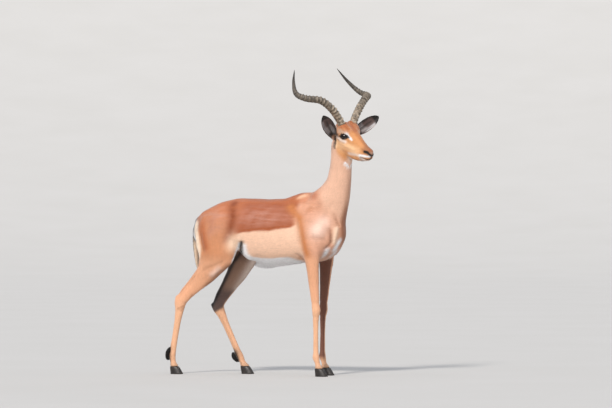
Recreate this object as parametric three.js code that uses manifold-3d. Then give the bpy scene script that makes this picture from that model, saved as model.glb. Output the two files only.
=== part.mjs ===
// A life-size impala ram, standing with its head turned a little to its right.
// Millimetres. +X is forward along the back, +Y is the animal's left, +Z is up and the floor is Z = 0.
import * as THREE from "three";
import { mergeVertices } from "three/addons/utils/BufferGeometryUtils.js";
import Module from "manifold-3d";

const wasm = await Module();
wasm.setup();

// ---- Driving dimensions -------------------------------------------------------------------------
const WITHERS = 900; // floor to the top of the shoulders
const GAP = 0.3; // between solids that meet

const HEAD_YAW = -20.5; // degrees, negative turns the face to the animal's right
const HEAD_ROLL = 2.7; // degrees, leans the head towards its right
const HEAD_PITCH = 33; // degrees, the long axis of the head points down by this
const EYE_LINE = new THREE.Vector3(458, -34, WITHERS + 263); // midway between the two eyes
const EYE = { radius: 17.5, apart: 75, along: 0, above: 1 };

const EAR_LENGTH = 185;
const EAR_ROOT = [-60, 44, -10]; // forward, out and up from midway between the eyes
const EAR_THICK = 4.4;
const HORN_STEPS = 36; // rings along a horn
const HORN_RIDGED_STEPS = 26; // from the base, a ridge at every second ring; the rest is smooth
const HORN_RIDGE_HEIGHT = 0.16; // share of the horn's radius

const CORONET = 38; // height of the top of a hoof
const HOOF_CLEFT = 2; // between the two claws of a foot

// ---- Finishes -----------------------------------------------------------------------------------
const finish = (colour, roughness) => new THREE.MeshStandardMaterial({ color: colour, roughness, metalness: 0 });
const RUFOUS = finish(0xa85a32, 0.72);
const FAWN = finish(0xd9a173, 0.75);
const FACE = finish(0xcf8a52, 0.72);
const EAR_GREY = finish(0xb9a79b, 0.8);
const BLACK_HAIR = finish(0x17130f, 0.85);
const EYE_BROWN = finish(0x0b0706, 0.08);
const HORN_GREY = finish(0x6b6155, 0.5);
const HOOF_BLACK = finish(0x1d1a17, 0.42);

// ---- Small helpers ------------------------------------------------------------------------------
const radians = THREE.MathUtils.degToRad;
const mix = THREE.MathUtils.lerp;

/** A curve through values[i] at places[i]. When held, it never goes past the values between them. */
function smoothThrough(places, values, held = true) {
  const last = values.length - 1;
  const rise = (i) => (values[i + 1] - values[i]) / (places[i + 1] - places[i]);
  const slopes = values.map((_, i) => {
    if (i === 0) return rise(0);
    if (i === last) return rise(last - 1);
    const [before, after] = [places[i] - places[i - 1], places[i + 1] - places[i]];
    const [a, b] = [rise(i - 1), rise(i)];
    if (!held) return (a * after + b * before) / (before + after);
    if (a * b <= 0) return 0;
    return (3 * (before + after)) / ((2 * after + before) / a + (after + 2 * before) / b);
  });
  return (place) => {
    let i = 0;
    while (i < last - 1 && place > places[i + 1]) i++;
    const h = places[i + 1] - places[i];
    const t = (place - places[i]) / h;
    const [t2, t3] = [t * t, t * t * t];
    return (
      (2 * t3 - 3 * t2 + 1) * values[i] +
      (t3 - 2 * t2 + t) * h * slopes[i] +
      (3 * t2 - 2 * t3) * values[i + 1] +
      (t3 - t2) * h * slopes[i + 1]
    );
  };
}

/** A closed solid over rings of equal, even counts of points, its two ends closed by a ladder of faces. */
function solidOverRings(rings) {
  const count = rings[0].length;
  const vertProperties = new Float32Array(rings.flat().flatMap((p) => [p.x, p.y, p.z]));
  const faces = [];
  const quad = (a, b, c, d) => faces.push(a, b, c, a, c, d);
  for (let i = 0; i + 1 < rings.length; i++)
    for (let j = 0; j < count; j++) {
      const next = (j + 1) % count;
      quad(i * count + j, i * count + next, (i + 1) * count + next, (i + 1) * count + j);
    }
  const top = (rings.length - 1) * count;
  for (let j = 0; j + 1 < count / 2; j++) {
    quad(j + 1, j, count - 1 - j, count - 2 - j);
    quad(top + j, top + j + 1, top + count - 2 - j, top + count - 1 - j);
  }
  const solid = new wasm.Manifold(new wasm.Mesh({ numProp: 3, vertProperties, triVerts: new Uint32Array(faces) }));
  return solid.volume() < 0 ? solidOverRings([...rings].reverse()) : solid;
}

/**
 * A body lofted through stations, each { at, wide, up, down, egg, square, turn }:
 * half widths across and to the two sides of its centre line, egg narrows the up side,
 * square above 2 fills the corners, and turn swings the cross axis about Z in degrees.
 * The whole loft is made in the given frame.
 */
function loft(stations, { sides, steps = 1, dome = [0, 0], grow = 0, frame = new THREE.Matrix4() }) {
  const full = stations.map((s) => ({ egg: 0, square: 2, turn: 0, ...s }));
  const places = [0];
  for (let i = 1; i < full.length; i++) places.push(places[i - 1] + full[i].at.distanceTo(full[i - 1].at));
  const track = (pick, held) => smoothThrough(places, full.map(pick), held);
  const [x, y, z] = ["x", "y", "z"].map((axis) => track((s) => s.at[axis], false));
  const sizes = ["wide", "up", "down", "egg", "square", "turn"].map((key) => [key, track((s) => s[key], true)]);
  const centre = (place) => new THREE.Vector3(x(place), y(place), z(place));
  const length = places.at(-1);

  const ringAt = (place, scale = 1, push = 0) => {
    const size = Object.fromEntries(sizes.map(([key, value]) => [key, value(place)]));
    const nudge = length * 1e-3;
    const along = centre(Math.min(place + nudge, length)).sub(centre(Math.max(place - nudge, 0))).normalize();
    const swing = radians(size.turn);
    const across = new THREE.Vector3(-Math.sin(swing), Math.cos(swing), 0);
    across.addScaledVector(along, -across.dot(along)).normalize();
    const upward = new THREE.Vector3().crossVectors(along, across);
    const middle = centre(place).addScaledVector(along, push);
    return Array.from({ length: sides }, (_, j) => {
      const angle = (2 * Math.PI * (j + 0.5)) / sides;
      const round = (v) => Math.sign(v) * Math.abs(v) ** (2 / size.square);
      const [c, s] = [round(Math.cos(angle)), round(Math.sin(angle))];
      const wide = (size.wide * scale + grow) * c * (1 - size.egg * s);
      const tall = ((s > 0 ? size.up : size.down) * scale + grow) * s;
      return middle.clone().addScaledVector(across, wide).addScaledVector(upward, tall).applyMatrix4(frame);
    });
  };

  const domeRings = (place, reach, way) =>
    reach ? [72, 40].map((a) => ringAt(place, Math.cos(radians(a)), way * (reach * Math.sin(radians(a)) + grow))) : [];
  const rings = [...domeRings(0, dome[0], -1)];
  for (let i = 0; i + 1 < places.length; i++)
    for (let k = 0; k < steps; k++) rings.push(ringAt(mix(places[i], places[i + 1], k / steps)));
  rings.push(ringAt(length), ...domeRings(length, dome[1], 1).reverse());
  return solidOverRings(rings);
}

/** A three.js geometry as a solid. */
function solidOf(geometry) {
  const bare = geometry.index ? geometry.toNonIndexed() : geometry.clone();
  bare.deleteAttribute("normal");
  bare.deleteAttribute("uv");
  const merged = mergeVertices(bare, 1e-3);
  return new wasm.Manifold(
    new wasm.Mesh({
      numProp: 3,
      vertProperties: new Float32Array(merged.attributes.position.array),
      triVerts: new Uint32Array(merged.index.array),
    }),
  );
}

/** An ellipsoid with those radii, tilted by degrees about Y and placed at centre of the given frame. */
function ellipsoid(centre, radii, { tilt = 0, around = 12, rows = 8, frame = new THREE.Matrix4() } = {}) {
  const shape = new THREE.SphereGeometry(1, around, rows).scale(...radii);
  shape.rotateY(radians(tilt)).translate(centre.x, centre.y, centre.z).applyMatrix4(frame);
  return solidOf(shape);
}

/** A box between two corners. */
function boxBetween(low, high) {
  const size = new THREE.Vector3().subVectors(high, low);
  const shape = new THREE.BoxGeometry(size.x, size.y, size.z);
  shape.translate((low.x + high.x) / 2, (low.y + high.y) / 2, (low.z + high.z) / 2);
  return solidOf(shape);
}

/** Everything on the far side of a plane through a point, as a large block facing along normal. */
function beyond(point, normal) {
  const reach = 900;
  const shape = new THREE.BoxGeometry(reach, reach, reach).translate(0, 0, reach / 2);
  shape.applyQuaternion(new THREE.Quaternion().setFromUnitVectors(new THREE.Vector3(0, 0, 1), normal.clone().normalize()));
  return solidOf(shape.translate(point.x, point.y, point.z));
}

/** The largest single body of a solid, without the crumbs that a cut can leave. */
const largest = (solid) => solid.decompose().reduce((best, next) => (next.volume() > best.volume() ? next : best));

const union = (solids) => solids.reduce((whole, next) => whole.add(next));
const at = (x, y, z) => new THREE.Vector3(x, y, z);

// ---- Head frame ---------------------------------------------------------------------------------
// The level frame turns with the head but stays upright; the skull frame is pitched down as well.
const LEVEL = new THREE.Matrix4()
  .makeTranslation(EYE_LINE)
  .multiply(new THREE.Matrix4().makeRotationZ(radians(HEAD_YAW)))
  .multiply(new THREE.Matrix4().makeRotationX(radians(HEAD_ROLL)));
const SKULL = LEVEL.clone().multiply(new THREE.Matrix4().makeRotationY(radians(HEAD_PITCH)));

const fromEyes = (forward, left, up) => at(forward, left, up).applyMatrix4(LEVEL);
const headWay = (forward, left, up) => at(forward, left, up).transformDirection(LEVEL);
const onSkull = (along, left, above) => at(along, left, above).applyMatrix4(SKULL);

// ---- Trunk and neck -----------------------------------------------------------------------------
function trunk() {
  const station = (x, z, wide, up, down, egg, square = 2) => ({ at: at(x, 0, z), wide, up, down, egg, square });
  return loft(
    [
      station(-372, 737, 46, 46, 82, 0.1),
      station(-335, 730, 84, 82, 108, 0.12),
      station(-262, 724, 106, 123, 104, 0.14, 2.1),
      station(-180, 712, 110, 156, 60, 0.1, 2.15),
      station(-95, 700, 114, 167, 122, 0.02, 2.2),
      station(20, 694, 121, 168, 170, -0.02, 2.2),
      station(118, 700, 117, 167, 165, 0.08, 2.15),
      station(205, 708, 104, 189, 158, 0.24, 2.05),
      station(290, 712, 94, 186, 160, 0.22),
      station(355, 717, 76, 150, 131, 0.12),
      station(395, 724, 50, 96, 80, 0),
    ],
    { sides: 20, dome: [12, 22] },
  );
}

/** The sheath under the belly and the scrotum between the thighs. */
const underparts = () => [
  ellipsoid(at(-14, 0, 535), [72, 17, 18], { tilt: 3, around: 8, rows: 6 }),
  ellipsoid(at(-180, 0, 612), [25, 27, 54], { tilt: 10, around: 8, rows: 6 }),
];

function neck() {
  const station = (x, y, z, wide, up, down, turn) => ({ at: at(x, y, z), wide, up, down, turn });
  return loft(
    [
      station(232, 0, 752, 76, 98, 118, 0),
      station(310, 0, 818, 78, 100, 140, 0),
      station(360, 0, 888, 66, 77, 90, -2),
      station(383, -1, 945, 56, 60, 68, -5),
      station(394, -4, 1008, 49, 56, 61, -9),
      station(401, -9, 1066, 47, 57, 61, -14),
      station(407, -15, 1122, 46, 62, 52, -20),
      station(418, -19, 1160, 38, 48, 40, -20),
    ],
    { sides: 16 },
  );
}

// ---- Head, ears, eyes and horns -----------------------------------------------------------------
function head(grow = 0) {
  const station = (along, above, wide, up, down, egg = 0, square = 2) => ({
    at: at(along, 0, above),
    wide,
    up,
    down,
    egg,
    square,
  });
  const skull = loft(
    [
      station(-94, 2, 26, 24, 30),
      station(-72, -2, 43, 46, 52, 0.05),
      station(-40, -8, 50, 58, 71, 0.12, 2.15),
      station(-8, -12, 49, 60, 81, 0.14, 2.25),
      station(28, -17, 45, 58, 78, 0.1, 2.25),
      station(60, -21, 38, 54, 69, 0.06, 2.2),
      station(94, -20, 31, 47, 57, 0.04, 2.25),
      station(124, -17, 27.5, 39, 45, 0, 2.3),
      station(148, -11, 27, 32, 33, -0.04, 2.4),
      station(163, -7, 22, 21, 23, 0, 2.3),
    ],
    { sides: 20, dome: [6, 8], grow, frame: SKULL },
  );
  const bulge = (along, out, above, radii, tilt) =>
    [1, -1].map((side) =>
      ellipsoid(at(along, side * out, above), radii.map((r) => r + grow), { tilt, around: 8, rows: 6, frame: SKULL }),
    );
  const orbits = bulge(-1, 36, 4, [26, 14.5, 22], 18);
  const pedicles = bulge(-52, 38, 32, [26, 22, 22], 20);
  return union([skull, ...orbits, ...pedicles]);
}

const eyeball = (side, grow = 0) =>
  ellipsoid(at(EYE.along, (side * EYE.apart) / 2, EYE.above), Array(3).fill(EYE.radius + grow), {
    around: 12,
    rows: 9,
    frame: SKULL,
  });

/** A leaf-shaped ear, rolled into a tube at its root and open towards its front. */
function ear(side, way, opening) {
  const axis = way.clone();
  const front = opening.clone().addScaledVector(axis, -opening.dot(axis)).normalize();
  const across = new THREE.Vector3().crossVectors(axis, front);
  const root = fromEyes(...EAR_ROOT.map((value, i) => (i === 1 ? side * value : value)));
  const places = [0, 0.16, 0.45, 0.74, 0.92, 1];
  const reach = smoothThrough(places, [24, 29, 38, 33, 18, 3]); // half the leaf's width, laid flat
  const roll = smoothThrough(places, [150, 118, 74, 58, 46, 40]); // degrees to each side of the back
  const wall = smoothThrough(places, [1.7, 1.3, 1, 0.8, 0.65, 0.5]);
  const rows = 10;
  const columns = 5;
  const rings = Array.from({ length: rows + 1 }, (_, i) => {
    const t = i / rows;
    const half = radians(roll(t));
    const bend = reach(t) / half;
    const spine = root
      .clone()
      .addScaledVector(axis, EAR_LENGTH * t)
      .addScaledVector(front, 16 * t * t - 10 * t);
    const point = (k, out) => {
      const angle = half * (2 * (k / columns) - 1);
      const radius = bend + (out * EAR_THICK * wall(t)) / 2;
      return spine
        .clone()
        .addScaledVector(front, bend - radius * Math.cos(angle))
        .addScaledVector(across, radius * Math.sin(angle));
    };
    const order = Array.from({ length: columns + 1 }, (_, k) => k);
    return [...order.map((k) => point(k, 1)), ...order.reverse().map((k) => point(k, -1))];
  });
  return solidOverRings(rings);
}

/** A lyre-shaped horn: out and back from its root, then up and in to its tip. */
function horn(side, grow = 0) {
  const path = new THREE.CatmullRomCurve3(
    [
      [-14, 38, 44],
      [-18, 50, 77],
      [-25, 97, 136],
      [-41, 153, 177],
      [-86, 217, 192],
      [-142, 218, 214],
      [-187, 188, 266],
      [-218, 148, 330],
    ].map(([forward, out, up]) => fromEyes(forward, side * out, up)),
  );
  const radiusAt = smoothThrough([0, 0.12, 0.3, 0.5, 0.7, 0.85, 0.96, 1], [18, 18.5, 18, 16, 11.5, 7, 3, 0.9]);
  const sides = 8;
  const frames = path.computeFrenetFrames(HORN_STEPS, false);
  const rings = Array.from({ length: HORN_STEPS + 1 }, (_, i) => {
    const t = i / HORN_STEPS;
    const ridge = i <= HORN_RIDGED_STEPS ? 1 + HORN_RIDGE_HEIGHT * (i % 2 ? -0.5 : 0.5) : 1;
    const radius = radiusAt(t) * ridge + grow;
    return Array.from({ length: sides }, (_, j) => {
      const angle = (2 * Math.PI * j) / sides;
      return path
        .getPointAt(t)
        .addScaledVector(frames.normals[i], radius * Math.cos(angle))
        .addScaledVector(frames.binormals[i], radius * Math.sin(angle));
    });
  });
  return solidOverRings(rings);
}

// ---- Legs and feet ------------------------------------------------------------------------------
// Sections of a leg: bone, share along it, half width, half depth to the front, half depth to the back.
const FORE_SECTIONS = [
  [0, 0, 32, 66, 66],
  [0, 0.35, 40, 90, 84],
  [0, 0.72, 36, 60, 62],
  [1, 0, 30, 41, 42],
  [1, 0.25, 25, 33, 34],
  [1, 0.55, 20, 27, 27],
  [1, 0.85, 17, 22, 22],
  [2, 0, 18.5, 22, 20],
  [2, 0.1, 17.5, 19, 19],
  [2, 0.22, 12.5, 14, 16],
  [2, 0.5, 11, 12, 13.5],
  [2, 0.86, 12, 13, 15],
  [3, 0, 15.5, 17, 18],
  [3, 0.5, 14.5, 14, 14],
  [3, 1, 19, 21, 19],
];
const HIND_SECTIONS = [
  [0, 0, 44, 88, 84],
  [0, 0.4, 49, 122, 120],
  [0, 0.76, 45, 122, 113],
  [1, 0, 39, 98, 96],
  [1, 0.33, 30, 66, 46],
  [1, 0.6, 23, 46, 41],
  [1, 0.84, 19, 31, 41],
  [2, 0, 20, 30, 34],
  [2, 0.17, 18, 21, 26],
  [2, 0.36, 13.5, 16, 19],
  [2, 0.66, 12, 15, 17],
  [2, 0.88, 13, 16, 18],
  [3, 0, 16, 18, 20],
  [3, 0.5, 14.5, 15, 15.5],
  [3, 1, 19, 21, 19],
];

/** A leg lofted along its joints, from inside the trunk to the coronet. */
function limb(joints, sections) {
  const last = joints.length - 2;
  const stations = sections.map(([bone, share, wide, up, down]) => {
    const b = Math.min(bone, last);
    return { at: joints[b].clone().lerp(joints[b + 1], bone > last ? 1 : share), wide, up, down };
  });
  return loft(stations, { sides: 10 });
}

const foreJoints = (side, elbow, carpus, fetlock) => [
  at(elbow - 12, side * 66, 772),
  at(elbow, side * 79, 562),
  at(carpus, side * 73, 318),
  at(fetlock, side * 71, 88),
  at(fetlock + 17, side * 71, CORONET - 8),
];
const hindJoints = (side, hip, stifle, hock, fetlock, toe) => [
  at(hip, side * 64, 782),
  at(stifle[0], side * 92, stifle[1]),
  at(hock[0], side * 84, hock[1]),
  at(fetlock[0], side * 81, fetlock[1]),
  at(toe, side * 80, CORONET - 8),
];

const LEGS = {
  foreleg_right: { side: -1, joints: foreJoints(-1, 276, 294, 294), sections: FORE_SECTIONS },
  foreleg_left: { side: 1, joints: foreJoints(1, 283, 268, 266), sections: FORE_SECTIONS },
  hind_leg_right: {
    side: -1,
    hind: true,
    joints: hindJoints(-1, -240, [-236, 566], [-424, 360], [-476, 88], -463),
    sections: HIND_SECTIONS,
  },
  hind_leg_left: {
    side: 1,
    hind: true,
    joints: hindJoints(1, -228, [-168, 578], [-303, 336], [-184, 88], -152),
    sections: HIND_SECTIONS,
  },
};

/** The heel bone that makes the point of the hock and runs down behind the joint. */
function heelBone({ joints }) {
  const [hock, fetlock] = joints.slice(2, 4);
  const cannon = new THREE.Vector3().subVectors(fetlock, hock).normalize();
  const back = new THREE.Vector3().crossVectors(at(0, 1, 0), cannon);
  const station = (down, behind, size) => ({
    at: hock.clone().addScaledVector(cannon, down).addScaledVector(back, behind),
    wide: size,
    up: size,
    down: size,
  });
  return loft([station(62, 6, 14), station(14, 21, 15), station(-20, 26, 11)], { sides: 8, dome: [0, 5] });
}

/** One claw of a foot, flat on the floor and pointed at the toe. */
function claw(foot, side) {
  const half = 9.6;
  const station = (z, forward, front, back) => ({
    at: at(foot.x + forward, foot.y + side * (half + HOOF_CLEFT / 2), z),
    wide: half,
    up: front,
    down: back,
    egg: 0.3,
    square: 2.3,
  });
  const block = loft([station(CORONET + 9, -2, 19, 18), station(18, 4, 27, 21), station(-9, 10, 36, 23)], { sides: 8 });
  return block.intersect(boxBetween(at(-900, -200, 0), at(900, 200, CORONET - GAP)));
}

/** The tuft of hair over the gland on the back of a hind cannon, just above the fetlock. */
function glandTuft({ joints }) {
  const [hock, fetlock] = joints.slice(2, 4);
  const up = new THREE.Vector3().subVectors(hock, fetlock).normalize();
  const back = new THREE.Vector3().crossVectors(at(0, 1, 0), up).negate();
  const place = (rise, behind) => fetlock.clone().addScaledVector(up, rise).addScaledVector(back, behind);
  const station = (rise, behind, size) => ({ at: place(rise, behind), wide: size, up: size * 0.8, down: size * 0.8 });
  return loft([station(48, 14, 6), station(31, 19, 12.5), station(10, 22, 14), station(-12, 20, 9)], {
    sides: 8,
    dome: [5, 8],
  });
}

function tail() {
  const station = (x, z, wide, thick) => ({ at: at(x, 0, z), wide, up: thick, down: thick });
  return loft(
    [
      station(-350, 770, 20, 18),
      station(-378, 752, 17, 13),
      station(-391, 712, 15, 9),
      station(-388, 640, 19, 10),
      station(-379, 565, 17, 9),
      station(-372, 508, 6, 4),
    ],
    { sides: 8, dome: [0, 5] },
  );
}

// ---- The whole body, parted with thin cuts -----------------------------------------------------
/** The block that holds one leg: a rounded shoulder or haunch and all that hangs below it. */
function legBlock({ side, hind }, grow) {
  const outer = side * 260;
  const inner = side * (hind ? 26 : 44) - side * grow;
  const [rear, front, top] = hind ? [-560, -134, 592] : [180, 372, 596];
  const [low, high] = [Math.min(inner, outer), Math.max(inner, outer)];
  const below = boxBetween(at(rear - grow, low, CORONET), at(front + grow, high, top + grow));
  const rounded = hind
    ? ellipsoid(at(-243, side * 168, 676), [166 + grow, 132 + grow, 172 + grow], { tilt: -6, around: 14, rows: 8 })
    : ellipsoid(at(276, side * 156, 682), [100 + grow, 108 + grow, 160 + grow], { tilt: 8, around: 14, rows: 8 });
  return below.add(rounded);
}

/** Takes each block out of the flesh in turn, leaves a thin gap, and calls what is left the trunk. */
function partFlesh(flesh, blocks) {
  const parts = {};
  let rest = flesh;
  for (const [name, block] of Object.entries(blocks)) {
    parts[name] = largest(rest.intersect(block(0)));
    rest = rest.subtract(block(GAP));
  }
  parts.trunk = largest(rest);
  return parts;
}

const legs = Object.values(LEGS);
const hinds = legs.filter((leg) => leg.hind);
const tufts = Object.fromEntries(Object.entries(LEGS).map(([name, leg]) => [name, leg.hind && glandTuft(leg)]));

let flesh = union([
  trunk(),
  neck(),
  head(),
  ...underparts(),
  ...legs.map((leg) => limb(leg.joints, leg.sections)),
  ...hinds.map(heelBone),
]);
for (const side of [1, -1]) flesh = flesh.subtract(eyeball(side, GAP));

const headCut = (grow) => beyond(fromEyes(-100, 0, -18).addScaledVector(headWay(0.77, 0, 0.64), -grow), headWay(0.77, 0, 0.64));
const neckCut = (grow) => {
  const way = at(0.55, 0, 0.835);
  return beyond(at(345, 0, 868).addScaledVector(way, -grow), way);
};
const parts = partFlesh(flesh, {
  head: headCut,
  neck: neckCut,
  ...Object.fromEntries(Object.entries(LEGS).map(([name, leg]) => [name, (grow) => legBlock(leg, grow)])),
});

const hornSolids = { horn_right: horn(-1), horn_left: horn(1) };
const skullGrown = head(GAP).add(neck());
for (const [name, solid] of Object.entries(hornSolids)) hornSolids[name] = largest(solid.subtract(skullGrown));
const earSolids = {
  ear_right: ear(-1, headWay(0.27, -0.71, 0.65), headWay(0.7, -0.72, 0)),
  ear_left: ear(1, headWay(0.58, 0.6, 0.55), headWay(0.7, -0.72, 0)),
};
const besideEars = skullGrown.add(horn(-1, GAP)).add(horn(1, GAP));
for (const [name, solid] of Object.entries(earSolids)) earSolids[name] = largest(solid.subtract(besideEars));

// ---- The model ---------------------------------------------------------------------------------
/** A named mesh of a solid. */
function piece(name, solid, material) {
  const mesh = solid.getMesh();
  const geometry = new THREE.BufferGeometry();
  geometry.setAttribute("position", new THREE.BufferAttribute(Float32Array.from(mesh.vertProperties), 3));
  geometry.setIndex(new THREE.BufferAttribute(Uint32Array.from(mesh.triVerts), 1));
  geometry.computeVertexNormals();
  const made = new THREE.Mesh(geometry, material);
  made.name = name;
  return made;
}

const model = new THREE.Group();
model.add(piece("trunk", parts.trunk, RUFOUS), piece("neck", parts.neck, FAWN), piece("head", parts.head, FACE));

const tailRoot = trunk().add(union(legs.map((leg) => limb(leg.joints, leg.sections))));
model.add(piece("tail", largest(tail().subtract(tailRoot)), FAWN));

for (const [name, leg] of Object.entries(LEGS)) {
  const toe = leg.joints.at(-1);
  const claws = [1, -1].map((side) => claw(toe, side));
  model.add(piece(name, parts[name], FAWN));
  claws.forEach((solid, i) => model.add(piece(`hoof_${name}_${i ? "right" : "left"}_claw`, solid, HOOF_BLACK)));
  if (leg.hind) {
    const cannon = limb(leg.joints, leg.sections);
    model.add(piece(`gland_tuft_${leg.side < 0 ? "right" : "left"}`, largest(tufts[name].subtract(cannon)), BLACK_HAIR));
  }
}
for (const [name, solid] of Object.entries(earSolids)) model.add(piece(name, solid, EAR_GREY));
for (const [name, solid] of Object.entries(hornSolids)) model.add(piece(name, solid, HORN_GREY));
for (const [name, side] of [["eye_right", -1], ["eye_left", 1]]) model.add(piece(name, eyeball(side), EYE_BROWN));

// The origin goes to the middle of the model's footprint, on the floor.
const bounds = new THREE.Box3().setFromObject(model);
const middle = bounds.getCenter(new THREE.Vector3());
model.position.set(-middle.x, -middle.y, -bounds.min.z);

export default model;
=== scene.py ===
"""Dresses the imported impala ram: one skin, a short coat in tufts, eyes, horns, ears and hooves.

The frame is in metres. Markings and modelling are placed in two millimetre frames: the body frame
(+X forward, +Y the animal's left, +Z up from the floor) and the skull frame (forward along the
face, left, and up from midway between the eyes).
"""

import logging
import math
from dataclasses import dataclass
from enum import Enum

import bmesh
import bpy
import numpy as np
from mathutils import Matrix, Vector
from mathutils.bvhtree import BVHTree


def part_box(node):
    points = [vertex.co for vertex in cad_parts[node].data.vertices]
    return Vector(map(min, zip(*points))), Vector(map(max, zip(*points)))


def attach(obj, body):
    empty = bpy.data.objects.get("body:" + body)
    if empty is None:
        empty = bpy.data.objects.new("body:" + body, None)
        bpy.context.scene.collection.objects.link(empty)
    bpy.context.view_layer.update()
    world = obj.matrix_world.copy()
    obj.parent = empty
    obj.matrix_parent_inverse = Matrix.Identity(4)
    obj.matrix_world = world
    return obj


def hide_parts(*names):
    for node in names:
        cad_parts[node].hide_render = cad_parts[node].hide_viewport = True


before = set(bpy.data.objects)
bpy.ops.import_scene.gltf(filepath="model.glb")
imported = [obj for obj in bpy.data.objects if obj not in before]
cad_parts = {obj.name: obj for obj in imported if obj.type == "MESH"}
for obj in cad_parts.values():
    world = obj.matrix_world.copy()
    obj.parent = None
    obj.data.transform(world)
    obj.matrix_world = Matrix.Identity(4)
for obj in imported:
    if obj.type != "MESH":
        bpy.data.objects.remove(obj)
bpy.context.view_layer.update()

log = logging.getLogger("impala")
MM = 0.001
SIDES = {"right": -1, "left": 1}
LEG_NODES = ("foreleg_right", "foreleg_left", "hind_leg_right", "hind_leg_left")
FLESH_NODES = ("trunk", "neck", "head", "tail") + LEG_NODES
EAR_NODES = ("ear_right", "ear_left")
GLAND_SHARES = {"left": 0.68, "right": 0.9}  # how much of each gland's height the black hair takes
BAKE_MAP = "OFBake"
COLOUR_LAYER = "coat"
LIE_LAYER = "lie"
Points = np.ndarray


# ---- Landmarks ----------------------------------------------------------------------------------
HEAD_YAW = math.radians(-20.5)
HEAD_ROLL = math.radians(2.7)
HEAD_PITCH = math.radians(33)
SLANT = math.radians(24)  # of the plane on which the thighs' markings are drawn
EYE_LINE = Vector((458, -34, 1163))
EYE_RADIUS = 17.5
EYE_OUT = 37.5
EYE_ABOVE = 1.0


class Place:
    """The two millimetre frames in which the animal is described."""

    def __init__(self) -> None:
        """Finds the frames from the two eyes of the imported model."""
        turn = Matrix.Rotation(HEAD_YAW, 3, "Z") @ Matrix.Rotation(HEAD_ROLL, 3, "X")
        self.level = turn
        self.skull = turn @ Matrix.Rotation(HEAD_PITCH, 3, "Y")
        corners = [corner for eye in ("eye_right", "eye_left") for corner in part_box(eye)]
        middle = sum(corners, Vector()) / 4 / MM
        self.shift = middle - (EYE_LINE + self.skull @ Vector((0, 0, EYE_ABOVE)))

    def body(self, points: Points) -> Points:
        """Metres of the frame to millimetres of the body frame."""
        return points / MM - np.array(self.shift)

    def head(self, points: Points) -> Points:
        """Metres of the frame to millimetres of the skull frame."""
        return (self.body(points) - np.array(EYE_LINE)) @ np.array(self.skull)

    def at(self, x: float, y: float, z: float) -> Vector:
        """A point of the body frame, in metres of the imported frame."""
        return (Vector((x, y, z)) + self.shift) * MM

    def from_eyes(self, forward: float, left: float, up: float) -> Vector:
        """A point of the level head frame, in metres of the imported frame."""
        return (self.level @ Vector((forward, left, up)) + EYE_LINE + self.shift) * MM

    def on_skull(self, along: float, left: float, above: float) -> Vector:
        """A point of the skull frame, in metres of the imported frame."""
        return (self.skull @ Vector((along, left, above)) + EYE_LINE + self.shift) * MM


PLACE = Place()


def body_box(node: str) -> tuple:
    """The lowest and highest corner of a CAD node, in the body frame."""
    return tuple(PLACE.body(np.array([corner]))[0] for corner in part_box(node))


def glands() -> list:
    """The middle and half size of the black tuft behind each hind fetlock, in the body frame."""
    found = []
    for name, share in GLAND_SHARES.items():
        low, high = body_box(f"gland_tuft_{name}")
        high[2] = low[2] + share * (high[2] - low[2])
        found.append(((low + high) / 2, (high - low) / 2))
    return found


def side_name(side: int) -> str:
    """What a side is called in the names of nodes and pieces."""
    return "left" if side > 0 else "right"


# ---- Small helpers ------------------------------------------------------------------------------
def ease(value: Points, start: float, end: float) -> Points:
    """A smooth step from 0 at start to 1 at end, which may run downwards."""
    t = np.clip((value - start) / (end - start), 0, 1)
    return t * t * (3 - 2 * t)


def linear(srgb: int) -> np.ndarray:
    """A 0xRRGGBB colour as three linear components."""
    parts = np.array([srgb >> 16 & 255, srgb >> 8 & 255, srgb & 255]) / 255
    return np.where(parts <= 0.04045, parts / 12.92, ((parts + 0.055) / 1.055) ** 2.4)


def blob(points: Points, centre: tuple, radii: tuple) -> Points:
    """A soft round mask, 1 at centre and fading out over the radii."""
    offset = (points - np.array(centre)) / np.array(radii)
    return np.exp(-(offset**2).sum(1))


def hump(value: Points, middle: float, width: float) -> Points:
    """A soft mask, 1 where the value is the middle one and fading out over the width."""
    return np.exp(-(((value - middle) / width) ** 2))


def stripe(points: Points, start: tuple, end: tuple, width: float) -> Points:
    """A soft mask along the line from start to end, of that half width."""
    a, b = np.array(start, float), np.array(end, float)
    along = np.clip(((points - a) @ (b - a)) / ((b - a) @ (b - a)), 0, 1)
    away = points - a - along[:, None] * (b - a)
    return np.exp(-(away**2).sum(1) / width**2)


def course(points: Points, spots: tuple, width: float) -> Points:
    """A soft mask along a line of several straight stretches."""
    return np.max([stripe(points, start, end, width) for start, end in zip(spots, spots[1:])], axis=0)


def soft(points: Points, where: tuple, size: object) -> Points:
    """A soft spot, where the size is three radii, or a soft line, where it is a half width."""
    return blob(points, where, size) if isinstance(size, tuple) else course(points, where, size)


def mirrored(points: Points) -> Points:
    """The points folded onto the left side."""
    return points * (1, 0, 1) + np.abs(points) * (0, 1, 0)


def wobble(points: Points, size: float, seed: int = 0) -> Points:
    """A smooth wandering value from -1 to 1, whose lumps are about size across."""
    rng = np.random.default_rng(seed)
    total = np.zeros(len(points))
    for _ in range(7):
        way = rng.normal(size=3)
        way *= 2.2 / size * rng.uniform(0.6, 1.6) / np.linalg.norm(way)
        total += np.sin(points @ way + rng.uniform(0, 6.28))
    return total / 3.2


def head_share(points: Points) -> Points:
    """1 on the head, 0 on the neck, fading across the join."""
    level = (PLACE.body(points) - np.array(EYE_LINE)) @ np.array(PLACE.level)
    ahead = (level[:, 0] + 100) * 0.77 + (level[:, 2] + 18) * 0.64
    return ease(ahead, -14, 16) * (PLACE.body(points)[:, 2] > 980)


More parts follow.
